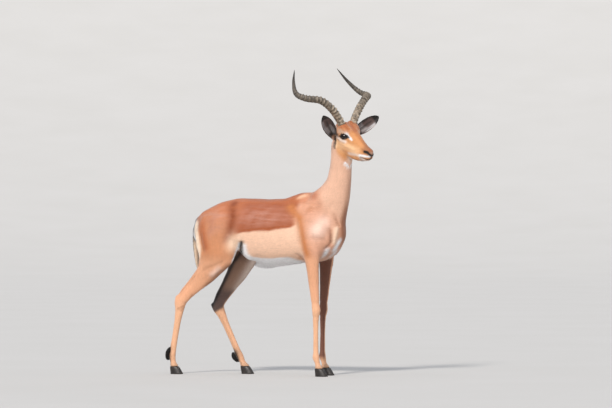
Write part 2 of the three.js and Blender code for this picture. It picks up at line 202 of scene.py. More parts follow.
class Shell:
    """The coordinates, normals and edges of a mesh as arrays."""

    def __init__(self, piece: bpy.types.Object) -> None:
        """Reads the mesh of a piece."""
        self.mesh = piece.data
        count = len(self.mesh.vertices)
        self.points = np.empty((count, 3))
        self.mesh.vertices.foreach_get("co", self.points.ravel())
        self.edges = np.empty((len(self.mesh.edges), 2), int)
        self.mesh.edges.foreach_get("vertices", self.edges.ravel())
        self.ties = np.maximum(np.bincount(self.edges.ravel(), minlength=count), 1)

    def normals(self) -> Points:
        """The normal of each vertex."""
        normals = np.empty((len(self.points), 3), np.float32)
        self.mesh.vertex_normals.foreach_get("vector", normals.ravel())
        return normals.astype(float)

    def average(self, values: Points) -> Points:
        """The mean of each vertex's neighbours, for an array of one or more columns."""
        first, second = self.edges[:, 0], self.edges[:, 1]
        columns = values.reshape(len(values), -1).T
        count = len(values)
        sums = [
            np.bincount(first, column[second], count) + np.bincount(second, column[first], count)
            for column in columns
        ]
        return (np.array(sums) / self.ties).T.reshape(values.shape)

    def relax(self, reach: Points, spacing: float, limit: int) -> None:
        """Smooths the shape so that detail under reach metres fades out at each vertex.

        Args:
            reach: How far the smoothing spreads, in metres, for each vertex.
            spacing: The length of an edge, in metres.
            limit: The most rounds.
        """
        needed = 4 * (reach / spacing) ** 2
        rounds = max(1, min(limit, int(needed.max())))
        share = np.clip(0.5 * needed / rounds, 0, 0.5)[:, None]
        for _ in range(rounds):
            self.points += share * (self.average(self.points) - self.points)
        self.store()

    def store(self) -> None:
        """Writes the points back to the mesh."""
        self.mesh.vertices.foreach_set("co", self.points.ravel())
        self.mesh.update()


def placed(name: str, data: bpy.types.ID) -> bpy.types.Object:
    """Makes an object of a mesh, lamp or camera, at the origin of the scene."""
    made = bpy.data.objects.new(name, data)
    bpy.context.scene.collection.objects.link(made)
    return made


def new_piece(name: str, shape: bmesh.types.BMesh) -> bpy.types.Object:
    """Makes an object of a bmesh, smooth shaded, and frees the bmesh."""
    mesh = bpy.data.meshes.new(name)
    shape.to_mesh(mesh)
    shape.free()
    mesh.shade_smooth()
    return placed(name, mesh)


def acting_on(piece: bpy.types.Object) -> object:
    """A context in which operators act on one piece alone."""
    return bpy.context.temp_override(object=piece, active_object=piece, selected_objects=[piece])


def applied(piece: bpy.types.Object, kind: str, **values: object) -> None:
    """Adds a modifier of that kind to a piece and applies it."""
    modifier = piece.modifiers.new(kind.lower(), kind)
    for key, value in values.items():
        setattr(modifier, key, value)
    with acting_on(piece):
        bpy.ops.object.modifier_apply(modifier=modifier.name)


def merged_copy(names: tuple) -> bmesh.types.BMesh:
    """The named CAD nodes in one bmesh, each closed by merging its loose triangles."""
    shape = bmesh.new()
    for name in names:
        shape.from_mesh(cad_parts[name].data)
    bmesh.ops.remove_doubles(shape, verts=shape.verts, dist=2e-6)
    return shape


def circle(shape: bmesh.types.BMesh, count: int, radius: float, place: Matrix) -> list:
    """Adds a ring of vertices to a bmesh."""
    return bmesh.ops.create_circle(shape, segments=count, radius=radius, matrix=place)["verts"]


def ring_place(centre: Vector, out: Vector, across: Vector, way: Vector) -> Matrix:
    """Where a ring lies that looks along way, with its own two axes out and across."""
    return Matrix.Translation(centre) @ Matrix((out, across, way)).transposed().to_4x4()


def bridge_rings(shape: bmesh.types.BMesh, rings: list, cap: bool = True) -> None:
    """Joins rings of vertices, in order, into a tube.

    Args:
        shape: The bmesh that holds the rings.
        rings: Lists of vertices with equal counts.
        cap: Whether the two ends are closed.
    """
    loops = [[shape.edges.get((a, b)) for a, b in zip(ring, ring[1:] + ring[:1])] for ring in rings]
    for lower, upper in zip(loops, loops[1:]):
        bmesh.ops.bridge_loops(shape, edges=lower + upper)
    if cap:
        for loop in (loops[0], loops[-1]):
            bmesh.ops.edgeloop_fill(shape, edges=loop)
    bmesh.ops.recalc_face_normals(shape, faces=shape.faces)


def paint(piece: bpy.types.Object, name: str, colours: Points) -> None:
    """Stores a linear colour at each vertex of a piece, under that attribute name."""
    layer = piece.data.color_attributes.new(name, "FLOAT_COLOR", "POINT")
    four = np.ones((len(colours), 4), np.float32)
    four[:, :3] = np.clip(colours, 0, 1)
    layer.data.foreach_set("color", four.ravel())


def dress(piece: bpy.types.Object, material: bpy.types.Material, slot: str, *nodes: str) -> None:
    """Gives a piece its material, lets it ride, and lets it stand for CAD nodes."""
    piece.data.materials.clear()
    piece.data.materials.append(material)
    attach(piece, "root")
    if nodes:
        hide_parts(*nodes)


# ---- Markings -----------------------------------------------------------------------------------
class Hue(Enum):
    """The colours of the coat."""

    SADDLE = 0xA1532C
    # painted sheen: the glossy saddle's highlight, laid as colour
    SADDLE_SHEEN = 0xC89482
    WITHERS = 0xAD5E35
    # painted sheen: a tan highlight on the withers and the forehead
    SHEEN_TAN = 0xF0C29E
    SHOULDER = 0xD9A082
    # painted highlight: pale light on the point of the shoulder and on the gaskin
    SHOULDER_SHEEN = 0xF7D6C4
    FLANK = 0xECC1A4
    WHITE = 0xF2F0F0
    PALE = 0xEAD8CC
    ELBOW = 0xC0743C
    NECK = 0xE2B397
    # darker brown of the neck's front, partly its own colour and partly painted shade
    NECK_FRONT = 0xAE7350
    THIGH = 0xC9875E
    # painted sheen: pinkish light on the rump, the thigh and the shoulder
    THIGH_SHEEN = 0xCE967D
    RUMP = 0xBC6C40
    HAUNCH = 0x8A401A
    CREAM = 0xF8DCC0
    # painted shade on the hind legs' inner sides
    INNER = 0xA07F6B
    # painted shade on the forelegs' inner sides
    INNER_FORE = 0x754A38
    LEG = 0xE3A680
    SHANK = 0xE6B18B
    FOOT = 0xB89274
    FACE = 0xD28F57
    JAW = 0xCB8452
    CHEEK = 0xFBD2A6
    FOREHEAD = 0xAD5E34
    MUZZLE = 0x9D6846
    BROW = 0xD8C0AC
    # painted shade in creases, folds and grooves, on the neck's front and under the thighs
    CREASE = 0x85492B
    # grey-mauve; laid as painted shade on the inner hind legs and under the chin, and as the grey of the
    # breast and the ears' lining
    MAUVE = 0x66514C
    BLACK = 0x17120F
    # dark grey-brown of the ears' ribs and of the streak below the ear, which is partly painted shadow
    DARK_GREY = 0x3E332E


class Markings:
    """The colour of the coat at any place, for the skin and for the tufts alike."""

    def __init__(self, points: Points, normals: Points) -> None:
        """Takes points in metres of the frame, and the skin's normals there."""
        self.points = points
        self.body = PLACE.body(points)
        self.skull = PLACE.head(points)
        self.outward = normals[:, 1] * np.sign(self.body[:, 1])
        self.normals = normals
        self.is_head = head_share(points)
        self.colour = np.tile(linear(Hue.SHOULDER.value), (len(points), 1))

    def lay(self, hue: Hue, mask: Points) -> None:
        """Blends a colour over what is there, by a mask from 0 to 1."""
        mask = np.clip(mask, 0, 1)[:, None]
        self.colour += mask * (linear(hue.value) - self.colour)

    def draw(self, fold: Points, *marks: tuple, within: object = 1.0) -> None:
        """Lays soft spots and lines in order.

        Args:
            fold: The points, folded onto one side.
            *marks: The hue, the strength, the centre of a spot or the course of a line, its radii or
                half width, and where it has one, a mask of its own.
            within: A mask for all of them.
        """
        for hue, strength, where, size, *own in marks:
            mask = strength * within * soft(fold, where, size)
            self.lay(hue, mask * own[0] if own else mask)

    def trunk(self) -> None:
        """Saddle, flank band, white belly, haunch and shoulder, with painted sheen and painted shade."""
        x, y, z = self.body.T
        side = np.abs(y)
        flat = self.body * (1, 0, 1)
        fold = mirrored(self.body)
        drift = 4 * wobble(self.body, 60, 3) + 3.5 * wobble(self.body * (0.5, 1, 1), 9, 4)
        streak = wobble(self.body * (0.35, 1, 1.3), 9, 9)
        edge = np.interp(x, [-160, -100, -68, 68, 150, 199, 212], [684, 692, 697, 708, 718, 732, 765])
        line = z - edge - 0.5 * drift
        self.lay(Hue.THIGH, ease(x, -70, -150) * (x < 240))
        torso = ease(x, -122, -104) * ease(x, 244, 228)
        self.lay(Hue.FLANK, torso * ease(line, 4, -4))
        front = ease(x - 0.12 * (z - 790) - drift, 202, 184)
        self.lay(Hue.SADDLE, ease(line, -4, 5) * front * ease(x, -170, -100))
        top = ease(z + 0.12 * x, 690 + drift, 800 + drift)
        self.lay(Hue.RUMP, 0.95 * top * ease(x, -60, -140))
        self.lay(Hue.RUMP, 0.6 * torso * ease(line, -4, 5) * ease(z, 828, 850))
        # painted sheen: lighter, pinkish streaks where the saddle catches the light
        sheen = blob(self.body, (10, 0, 770), (165, 900, 52)) * (0.7 + 0.45 * streak)
        self.lay(Hue.SADDLE_SHEEN, 0.56 * np.clip(sheen, 0, 1) * ease(side, 40, 80) * ease(line, 8, 24))
        # painted sheen on the rump and the top of the thigh
        rear = blob(flat, (-226, 0, 768), (52, 900, 46)) + 0.8 * blob(flat, (-237, 0, 704), (36, 900, 40))
        self.lay(Hue.THIGH_SHEEN, np.clip(rear * (0.55 + 0.5 * streak), 0, 0.7))
        self.draw(
            fold,
            (Hue.HAUNCH, 0.46, (-243, 115, 738), (54, 60, 50), 0.6 + 0.6 * streak),
            (Hue.ELBOW, 0.85, (262, 70, 812), (34, 60, 26), ease(streak, -0.4, 0.5)),
            (Hue.WITHERS, 0.75, (278, 50, 876), (34, 60, 24)),
            (Hue.WITHERS, 0.7, (318, 74, 842), (16, 60, 26)),
            # painted highlight along the top of the withers
            (Hue.SHEEN_TAN, 0.8, ((190, 44, 868), (222, 40, 880)), 11),
        )
        # painted sheen: pinkish light over the shoulder
        painted_pink_sheen = blob(fold, (268, 82, 780), (52, 60, 40)) * (0.7 + 0.4 * streak)
        self.lay(Hue.THIGH_SHEEN, 0.6 * np.clip(painted_pink_sheen, 0, 1))
        self.draw(
            fold,
            (Hue.ELBOW, 0.95,
             ((160, 76, 822), (214, 92, 768), (234, 104, 700), (250, 107, 622), (266, 104, 572)),
             21, ease(side, 40, 70)),
            # painted highlights on the point of the shoulder
            (Hue.SHOULDER_SHEEN, 0.85, (312, 103, 708), (40, 46, 40)),
            (Hue.SHOULDER_SHEEN, 0.6, (340, 76, 752), (30, 40, 34)),
            # painted shade in the crease under the shoulder
            (Hue.CREASE, 0.35, ((290, 107, 676), (312, 100, 669), (337, 84, 668)), 4),
            # darker rufous band down the front of the thigh: partly its own colour, partly painted shade of
            # the hollow before the hip
            (Hue.HAUNCH, 0.95, ((-153, 60, 838), (-140, 96, 766), (-148, 112, 700), (-158, 114, 672)),
             27, 0.95 + 0.2 * streak),
            # painted sheen: a pale band of light down the front of the thigh
            (Hue.CREAM, 0.75, (-132, 110, 642), (34, 40, 44)),
            (Hue.RUMP, 0.8, ((-304, 106, 752), (-286, 121, 686), (-268, 125, 622)), 17),
            (Hue.RUMP, 0.7, (-335, 60, 785), (36, 60, 24)),
        )
        places = [-110, -93, -84, -70, -40, 7, 60, 150, 200, 240]
        belly = np.interp(x, places, [634, 624, 612, 596, 578, 571, 570, 577, 564, 550])
        belly += 0.4 * drift
        self.lay(Hue.WHITE, ease(x, -108, -98) * ease(x, 262, 236) * ease(z, belly + 4, belly - 3))
        self.lay(Hue.WHITE, ease(side, 50, 36) * ease(z, 620, 585) * ease(x, -300, -240) * ease(x, 300, 260))
        # painted shade in the fold at the elbow
        self.lay(Hue.CREASE, 0.8 * blob(fold, (206, 68, 576), (8, 30, 9)))

    def chest(self) -> None:
        """The neck, its darker front edge, partly painted shade, the painted shade of its creases and the
        white hair of the breast.
        """
        x, y, z = self.body.T
        side = np.abs(y)
        fold = mirrored(self.body)
        neck = ease(z + 0.9 * x, 1060, 1170) * ease(x, 270, 340)
        self.lay(Hue.NECK, neck)
        # partly painted shade: darker where the neck's surface faces forward, deepest low on the neck
        front = ease(self.normals[:, 0], 0.72, 0.97) * ease(x, 330, 380)
        front *= ease(z, 610, 660) * ease(z, 1040, 900)
        self.lay(Hue.NECK_FRONT, front * (0.85 - 0.45 * ease(z, 780, 880)))
        self.lay(Hue.CREASE, 0.55 * front * ease(z, 860, 760))
        self.draw(
            fold,
            (Hue.CREAM, 0.9, ((390, 50, 716), (378, 50, 650)), 11),
            # painted shade in the creases of the chest and the neck
            (Hue.CREASE, 0.75, ((366, 64, 706), (370, 59, 646), (344, 64, 624)), 6),
            (Hue.CREASE, 0.5, ((376, 52, 790), (398, 42, 730)), 6),
        )
        breast = blob(fold, (350, 30, 592), (34, 34, 26))
        self.lay(Hue.MAUVE, 0.55 * np.clip(1.2 * breast, 0, 1) * ease(wobble(self.body, 6, 12), -0.5, 0.6))
        self.draw(
            fold,
            (Hue.WHITE, 1.5, ((400, 28, 658), (374, 34, 612)), 9),
            (Hue.WHITE, 1.4, ((347, 58, 612), (318, 44, 577)), 10),
            (Hue.WHITE, 0.8, ((374, 20, 606), (330, 14, 566)), 12),
        )
        self.lay(Hue.WHITE, ease(side, 46, 30) * ease(z, 590, 570) * ease(x, 150, 200) * ease(x, 330, 300))

    def legs(self) -> None:
        """Tan limbs, with painted shade where they face each other, and the cream rear edge of the thighs."""
        x, y, z = self.body.T
        side = np.abs(y)
        fold = mirrored(self.body)
        self.lay(Hue.LEG, ease(x, 190, 225) * ease(z, 600, 555))
        self.lay(Hue.LEG, ease(x, -60, -100) * ease(z, 600, 540))
        self.lay(Hue.SHANK, 0.85 * ease(z, 400, 300) * (z < 440))
        self.lay(Hue.FOOT, 0.6 * ease(z, 70, 42))
        # painted shade on the forelegs' inner sides, where they face each other
        inward_shade = ease(self.outward, -0.15, -0.6) * (side > 30) * ease(x, 190, 230)
        self.lay(Hue.INNER_FORE, 1.2 * inward_shade * ease(z, 60, 110) * ease(z, 600, 560))
        far, near = self.slanted(1), self.slanted(-1)
        edge = np.interp(far[:, 0], [-262, -190], [302, 344])
        # painted shade on the hind legs' inner sides, greyer by the groin and the hock
        inward_shade = ease(self.outward, -0.1, -0.5) * ease(x, -60, -90)
        inward_shade *= ease(z - edge, -9, 9) * ease(z, 650, 600)
        self.lay(Hue.INNER, 0.95 * inward_shade * (side > 26))
        self.lay(Hue.MAUVE, 0.5 * inward_shade * ease(z, 540, 580))
        self.lay(Hue.MAUVE, 0.85 * inward_shade * ease(z, 440, 390))
        inner = ease(self.outward, 0.25, 0.0) * ease(x, -50, -80) * (side > 20)
        front = course(far, ((-52, 0, 580), (-74, 0, 530), (-108, 0, 470), (-138, 0, 416)), 24)
        self.lay(Hue.PALE, 0.95 * inner * front)
        spots = ((-112, 0, 622), (-168, 0, 548), (-196, 0, 490), (-240, 0, 400), (-276, 0, 330))
        self.lay(Hue.BLACK, 0.95 * inner * course(far, spots, 11))
        band = course(near, ((-338, 0, 758), (-322, 0, 690), (-306, 0, 625)), 17)
        self.lay(Hue.HAUNCH, 0.42 * band * ease(self.outward, 0.1, 0.3) * ease(x, -180, -240))
        rear = np.interp(z, [520, 617, 693, 747, 770], [-312, -303, -324, -342, -352])
        self.lay(Hue.CREAM, ease(x, rear + 9, rear - 7) * ease(z, 540, 600) * ease(z, 762, 742))
        self.draw(
            fold,
            # painted shade in the crease above the gaskin
            (Hue.CREASE, 0.14, ((-286, 119, 513), (-240, 120, 528), (-184, 119, 552)), 9),
            # painted highlight on the bulge below that crease
            (Hue.SHOULDER_SHEEN, 0.7, ((-244, 112, 490), (-208, 114, 518)), 14),
        )
        # painted shade on the undersides of the thighs
        under = ease(self.normals[:, 2], -0.35, -0.8) * ease(z, 420, 450) * ease(z, 580, 540) * (x < -100)
        self.lay(Hue.CREASE, 0.6 * under)
        notch = (y < -40) * ease(x, -190, -180) * ease(x, -50, -60) * ease(self.outward, -0.3, -0.1)
        self.lay(Hue.WHITE, 1.3 * notch * course(near, ((-112, 0, 634), (-104, 0, 600), (-92, 0, 574)), 9))
        self.lay(Hue.WHITE, 2.0 * notch * course(near, ((-136, 0, 640), (-151, 0, 596), (-168, 0, 552)), 4.5))
        self.lay(Hue.BLACK, 1.6 * notch * course(near, ((-125, 0, 649), (-128, 0, 628), (-125, 0, 596)), 8))
        self.draw(
            fold,
            # painted shade in the grooves of the hock and the Achilles tendon
            (Hue.CREASE, 0.6, ((-429, 93, 399), (-384, 99, 445), (-343, 108, 479)), 3.5),
            (Hue.CREASE, 0.5, ((-436, 101, 322), (-408, 95, 336)), 4),
            (Hue.CREASE, 0.4, ((-420, 94, 310), (-360, 97, 391)), 4),
        )
        for centre, half in glands():
            self.lay(Hue.BLACK, 5 * blob(self.body, tuple(centre), tuple(half * 1.15)))

    def slanted(self, side: int) -> Points:
        """The points seen flat across a slanting upright plane, as (across, 0, height)."""
        x, y, z = self.body.T
        return np.stack([x * math.cos(SLANT) + side * np.abs(y) * math.sin(SLANT), 0 * z, z], 1)

    def rump(self) -> None:
        """White between the haunches, with a black line beside and along the tail."""
        x, y, z = self.body.T
        side = np.abs(y)
        self.lay(Hue.WHITE, ease(x, -335, -352) * ease(side, 50, 36) * ease(z, 765, 745) * ease(z, 470, 520))
        bend = np.interp(z, [520, 600, 700, 760], [44, 52, 52, 40])
        line = hump(side - bend, -6, 5) * ease(x, -300, -330)
        self.lay(Hue.BLACK, 0.6 * line * ease(z, 530, 580) * ease(z, 775, 755))
        tail = ease(x, -354, -364) * ease(side, 26, 22)
        self.lay(Hue.RUMP, tail * ease(z, 690, 745))
        self.lay(Hue.CREAM, tail * ease(z, 742, 700))
        back = ease(self.normals[:, 0], -0.35, -0.65)
        self.lay(Hue.BLACK, 1.2 * tail * back * ease(z, 790, 752) * ease(z, 545, 585))

    def face(self) -> None:
        """Forehead, brow, cheek, muzzle and the dark lines of the nose, with painted light and shade."""
        along, left, above = self.skull.T
        fold = mirrored(self.skull)
        side = np.abs(left)
        head = self.is_head
        fleck = wobble(self.skull, 5, 6)
        self.lay(Hue.FACE, head * ease(along + 0.55 * above, -72, -40))
        self.draw(
            fold,
            (Hue.CHEEK, 0.6, (76, 36, -34), (44, 40, 17)),
            (Hue.CHEEK, 0.4, ((0, 47, -34), (46, 42, -22), (100, 30, -10)), 15),
            (Hue.CHEEK, 0.8, ((-34, 50, -22), (-20, 48, -66)), 9),
            # painted light: a lighter spot on the lower cheek
            (Hue.CHEEK, 0.45, (6, 46, -54), (34, 30, 26)),
            (Hue.JAW, 0.35, ((30, 40, -62), (80, 34, -56)), 8),
            within=head,
        )
        crown = ease(above - 0.22 * along, 22, 46) * ease(along, 84, 10)
        self.lay(Hue.FOREHEAD, head * crown * (0.75 + 0.3 * fleck))
        self.lay(Hue.FOREHEAD, 0.35 * head * ease(side, 22, 10) * ease(above + 0.2 * along, 30, 44))
        # painted sheen on the forehead
        self.lay(Hue.SHEEN_TAN, 0.5 * head * blob(fold, (-4, 22, 42), (26, 10, 12)) * ease(fleck, -0.3, 0.5))
        self.lay(Hue.MUZZLE, 0.8 * head * ease(along, 100, 132) * ease(above, -14, 4))
        self.lay(Hue.MUZZLE, 0.5 * head * ease(side, 14, 6) * ease(along, 60, 100))
        self.draw(
            fold,
            (Hue.FOREHEAD, 0.8, (150, 6, 20), (12, 13, 9)),
            (Hue.BROW, 0.95, (-24, 47, 18), (21, 20, 12)),
            (Hue.WHITE, 1.1, ((-34, 40, 30), (-10, 43, 25), (10, 44, 20)), 8),
            (Hue.WHITE, 1.4, ((6, 44, 20), (26, 41, 15), (36, 38, 12)), 5.6),
            (Hue.WHITE, 1.2, ((36, 38, 13), (45, 35, 9)), 4),
            (Hue.PALE, 0.95, ((-30, 50, -20), (-6, 50, -21), (20, 46, -16)), 8),
            (Hue.MAUVE, 0.45, ((-24, 50, -29), (-2, 49, -31), (18, 45, -26)), 3.5),
            (Hue.PALE, 0.8, ((-34, 50, -20), (-33, 48, 12)), 8),
            (Hue.PALE, 0.8, ((60, 34, -60), (122, 28, -34)), 8),
            within=head,
        )
        self.lay(Hue.PALE, 0.9 * head * ease(above, -30, -38) * ease(along, 112, 130))
        under = ease(above + 0.2 * along, -60, -68) * ease(side, 30, 20) * ease(along, 40, 70)
        self.lay(Hue.PALE, head * under)
        self.lay(Hue.WHITE, 1.5 * head * course(fold, ((120, 28, -32), (150, 24, -17), (168, 12, -8)), 5.2))
        # painted shade under the chin
        self.lay(Hue.MAUVE, 0.4 * head * ease(above, -36, -46) * ease(along, 118, 135))
        self.draw(
            fold,
            (Hue.FACE, 0.8, ((104, 26, -52), (130, 20, -50)), 6),
            (Hue.PALE, 0.9, (168, 6, 12), (6, 8, 6)),
            (Hue.BLACK, 1.5, ((139, 25, 1), (152, 22, 6)), 6.5),
            (Hue.BLACK, 1.5, ((152, 21, 5), (165, 14, 1), (173, 0, -4)), 5.5),
            (Hue.BLACK, 1.1, ((172, 0, -4), (171, 0, -22)), 3.4),
            (Hue.BLACK, 1.4, ((126, 26, -40), (150, 22, -32), (164, 12, -26), (169, 0, -22)), 3.4),
            within=head,
        )
        around = EyeOpening.measure(fold - (0, EYE_OUT, EYE_ABOVE))
        self.lay(Hue.BLACK, 1.3 * head * ease(around, 1.38, 1.22) * (fold[:, 1] > 30))
        self.draw(
            fold,
            (Hue.BLACK, 1.3, ((16, 46, 8), (27, 41, 12)), 4),
            (Hue.BLACK, 1.2, ((-14, 50, -8), (-27, 50, -13)), 4),
            within=head,
        )
        # painted shade on the throat under the jaw
        self.lay(Hue.NECK_FRONT, 0.3 * course(fold, ((40, 30, -94), (58, 22, -106)), 14))
        self.lay(Hue.WHITE, 2.2 * course(fold, ((56, 25, -117), (72, 8, -130)), 5))
        # dark hair below the ear, partly the ear's painted shadow on the neck
        dark = stripe(fold, (-58, 45, 8), (-46, 48, -20), 10)
        dark += stripe(fold, (-46, 48, -20), (-32, 48, -56), 7)
        dark += stripe(fold, (-32, 48, -54), (-21, 46, -80), 4)
        self.lay(Hue.DARK_GREY, 1.3 * np.clip(dark, 0, 1))

    def run(self) -> Points:
        """Lays every marking in order and returns linear colours."""
        for step in (self.trunk, self.chest, self.legs, self.rump, self.face):
            step()
        EarMarkings.lay(self.points, self.colour)
        return self.colour


# ---- The lie of the coat ------------------------------------------------------------------------
def lie_of_coat(points: Points) -> Points:
    """The way the hair lies at each point, before it is laid flat on the skin."""
    x, _, z = PLACE.body(points).T
    way = np.tile([-1.0, 0.0, -0.38], (len(points), 1))
    neck = (ease(z, 830, 930) * ease(x, 250, 320))[:, None]
    way += neck * (np.array([-0.45, 0, -1.0]) - way)
    low = ease(z, 620, 520)
    limb = (low * np.clip(ease(x, 190, 220) + ease(x, -70, -120), 0, 1))[:, None]
    way += limb * (np.array([-0.12, 0, -1.0]) - way)
    thigh = (ease(x, -110, -220) * ease(z, 820, 700))[:, None]
    way += thigh * (np.array([-0.5, 0, -0.9]) - way)
    rear = ease(x, -345, -365)[:, None]
    way += rear * (np.array([-0.1, 0, -1.0]) - way)
    head = head_share(points)[:, None]
    back = np.array(PLACE.skull @ Vector((-1, 0, -0.15)))
    way += head * (back - way)
    for ear in EARS.values():
        way += ear.share(points)[:, None] * (ear.frame()[0] - way)
    return way / np.linalg.norm(way, axis=1)[:, None]


# ---- Materials ----------------------------------------------------------------------------------
class Sheet:
    """A node tree under construction, with short calls for nodes and links."""

    def __init__(self, tree: bpy.types.NodeTree) -> None:
        """Takes the tree to fill."""
        self.tree = tree
        self.column = 0

    def add(self, kind: str, values: dict | None = None, **settings: object) -> bpy.types.Node:
        """Adds a node.

        Args:
            kind: The node's type name, without its ShaderNode prefix.
            values: Inputs by name or index, as constants or as sockets to link.
            **settings: Properties of the node.

        Returns:
            The node.
        """
        node = self.tree.nodes.new(kind if kind.startswith("Node") else "ShaderNode" + kind)
        self.column += 1
        node.location = (self.column * 180, 0)
        for key, value in settings.items():
            setattr(node, key, value)
        for key, value in (values or {}).items():
            if isinstance(value, bpy.types.NodeSocket):
                self.tree.links.new(value, node.inputs[key])
            else:
                node.inputs[key].default_value = value
        return node

    def math(self, operation: str, *values: object) -> bpy.types.NodeSocket:
        """Adds a Math node and returns its value."""
        return self.add("Math", dict(enumerate(values)), operation=operation).outputs[0]

    def noise(self, place: object, scale: object, detail: float, **values: float) -> bpy.types.NodeSocket:
        """Adds a noise and returns its value."""
        given = {"Vector": place, "Scale": scale, "Detail": detail} | values
        return self.add("TexNoise", given).outputs[0]

    def spread(self, value: object, *limits: float) -> bpy.types.NodeSocket:
        """Maps a value from a range, given by its ends, to 0 and 1 or to a second range."""
        return self.add("MapRange", dict(enumerate((value, *limits)))).outputs[0]

    def tinted(self, factor: float, colour: object, shade: object) -> bpy.types.NodeSocket:
        """Darkens a colour by a value and returns it."""
        grey = self.add("CombineXYZ", {0: shade, 1: shade, 2: shade}).outputs[0]
        return self.mix(factor, colour, grey, "MULTIPLY")

    def feed(self, node: bpy.types.Node, **sources: bpy.types.NodeSocket) -> None:
        """Links sources to the inputs of a node, whose names take _ for a space."""
        for name, source in sources.items():
            self.tree.links.new(source, node.inputs[name.replace("_", " ")])

    def bump(self, node: bpy.types.Node, height: object, distance: float, strength: float) -> None:
        """Feeds the Normal of a shader from a height."""
        values = {"Height": height, "Distance": distance, "Strength": strength}
        self.feed(node, Normal=self.add("Bump", values).outputs[0])

    def mix(self, factor: object, first: object, second: object, blend: str = "MIX") -> bpy.types.NodeSocket:
        """Adds a colour Mix node and returns its result."""
        node = self.add("Mix", data_type="RGBA", blend_type=blend)
        for socket, value in ((node.inputs[0], factor), (node.inputs[6], first), (node.inputs[7], second)):
            if isinstance(value, bpy.types.NodeSocket):
                self.tree.links.new(value, socket)
            else:
                socket.default_value = value
        return node.outputs[2]


def colour4(srgb: int) -> tuple:
    """A 0xRRGGBB colour as four linear components."""
    return (*linear(srgb), 1.0)


def node_group(name: str, inputs: dict, outputs: dict) -> tuple:
    """A shader node group with named sockets.

    Args:
        name: The group's name.
        inputs: Socket name to (type, default).
        outputs: Socket name to type.

    Returns:
        The group, its Sheet, the input node and the output node.
    """
    group = bpy.data.node_groups.new(name, "ShaderNodeTree")
    for label, (kind, value) in inputs.items():
        socket = group.interface.new_socket(name=label, in_out="INPUT", socket_type=kind)
        if value is not None:
            socket.default_value = value
    for label, kind in outputs.items():
        group.interface.new_socket(name=label, in_out="OUTPUT", socket_type=kind)
    sheet = Sheet(group)
    return group, sheet, sheet.add("NodeGroupInput"), sheet.add("NodeGroupOutput")


def hair_grain_group() -> bpy.types.NodeTree:
    """Fine streaks that run with the lie of the coat, mixed from three stretched noises."""
    group, sheet, given, result = node_group(
        "hair_grain",
        {"Fineness": ("NodeSocketFloat", 900.0), "Stretch": ("NodeSocketFloat", 9.0)},
        {"Grain": "NodeSocketFloat", "Mottle": "NodeSocketFloat"},
    )
    place = sheet.add("TexCoord").outputs["Object"]
    lie = sheet.add("Attribute", attribute_name=LIE_LAYER).outputs["Color"]
    weights = sheet.add("SeparateXYZ", {0: lie}).outputs
    along = sheet.math("DIVIDE", given.outputs["Fineness"], given.outputs["Stretch"])
    total = None
    for axis in range(3):
        sizes = {i: along if i == axis else given.outputs["Fineness"] for i in range(3)}
        scale = sheet.add("CombineXYZ", sizes).outputs[0]
        spot = sheet.add("VectorMath", {0: place, 1: scale}, operation="MULTIPLY").outputs[0]
        part = sheet.math("MULTIPLY", sheet.noise(spot, 1.0, 2.0, Roughness=0.6), weights[axis])
        total = part if total is None else sheet.math("ADD", total, part)
    sheet.feed(result, Grain=total, Mottle=sheet.noise(place, 38.0, 3.0, Roughness=0.55))
    return group


def fine_wear_group() -> bpy.types.NodeTree:
    """Small pits and long streaks for horn and hoof."""
    group, sheet, given, result = node_group(
        "keratin_wear",
        {"Scale": ("NodeSocketFloat", 60.0)},
        {"Streak": "NodeSocketFloat", "Pits": "NodeSocketFloat"},
    )
    place = sheet.add("TexCoord").outputs["Object"]
    scale = given.outputs["Scale"]
    streak = sheet.noise(place, scale, 6.0, Roughness=0.65)
    pits = sheet.noise(place, sheet.math("MULTIPLY", scale, 7.0), 4.0, Roughness=0.7)
    sheet.feed(result, Streak=streak, Pits=pits)
    return group


@dataclass(frozen=True)
class Finish:
    """What all finishes share: a name, and a material to build on."""

    name: str

    def start(self) -> tuple:
        """A new material, its Sheet and its shader."""
        material = bpy.data.materials.new(self.name)
        material.use_nodes = True
        return material, Sheet(material.node_tree), material.node_tree.nodes["Principled BSDF"]


@dataclass(frozen=True)
class HairFinish(Finish):
    """Hair or haired skin, coloured by the marking stored at each vertex."""

    grain: bpy.types.NodeTree
    roughness: float = 0.58
    sheen: float = 0.35
    depth: float = 0.0006
    fineness: float = 900.0
    contrast: float = 0.34

    def make(self) -> bpy.types.Material:
        """Builds the material."""
        material, sheet, shader = self.start()
        fine, broad = (
            sheet.add("Group", {"Fineness": fineness}, node_tree=self.grain).outputs
            for fineness in (self.fineness, self.fineness / 5)
        )
        colour = sheet.add("Attribute", attribute_name=COLOUR_LAYER).outputs["Color"]
        streak = fine["Grain"]
        wide = sheet.math("MULTIPLY", broad["Grain"], 0.4)
        coarse = sheet.math("ADD", wide, sheet.math("MULTIPLY", fine["Mottle"], 0.15))
        both = sheet.math("ADD", sheet.math("MULTIPLY", streak, 0.45), coarse)
        shade = sheet.math("MULTIPLY_ADD", sheet.math("SUBTRACT", both, 0.5), self.contrast * 2, 1.0)
        rough = sheet.math("MULTIPLY_ADD", streak, 0.22, self.roughness - 0.11)
        sheet.feed(shader, Base_Color=sheet.tinted(1.0, colour, shade), Roughness=rough)
        sheet.bump(shader, streak, self.depth, 0.8)
        shader.inputs["Sheen Weight"].default_value = self.sheen
        shader.inputs["Sheen Roughness"].default_value = 0.4
        shader.inputs["Specular IOR Level"].default_value = 0.35
        return material


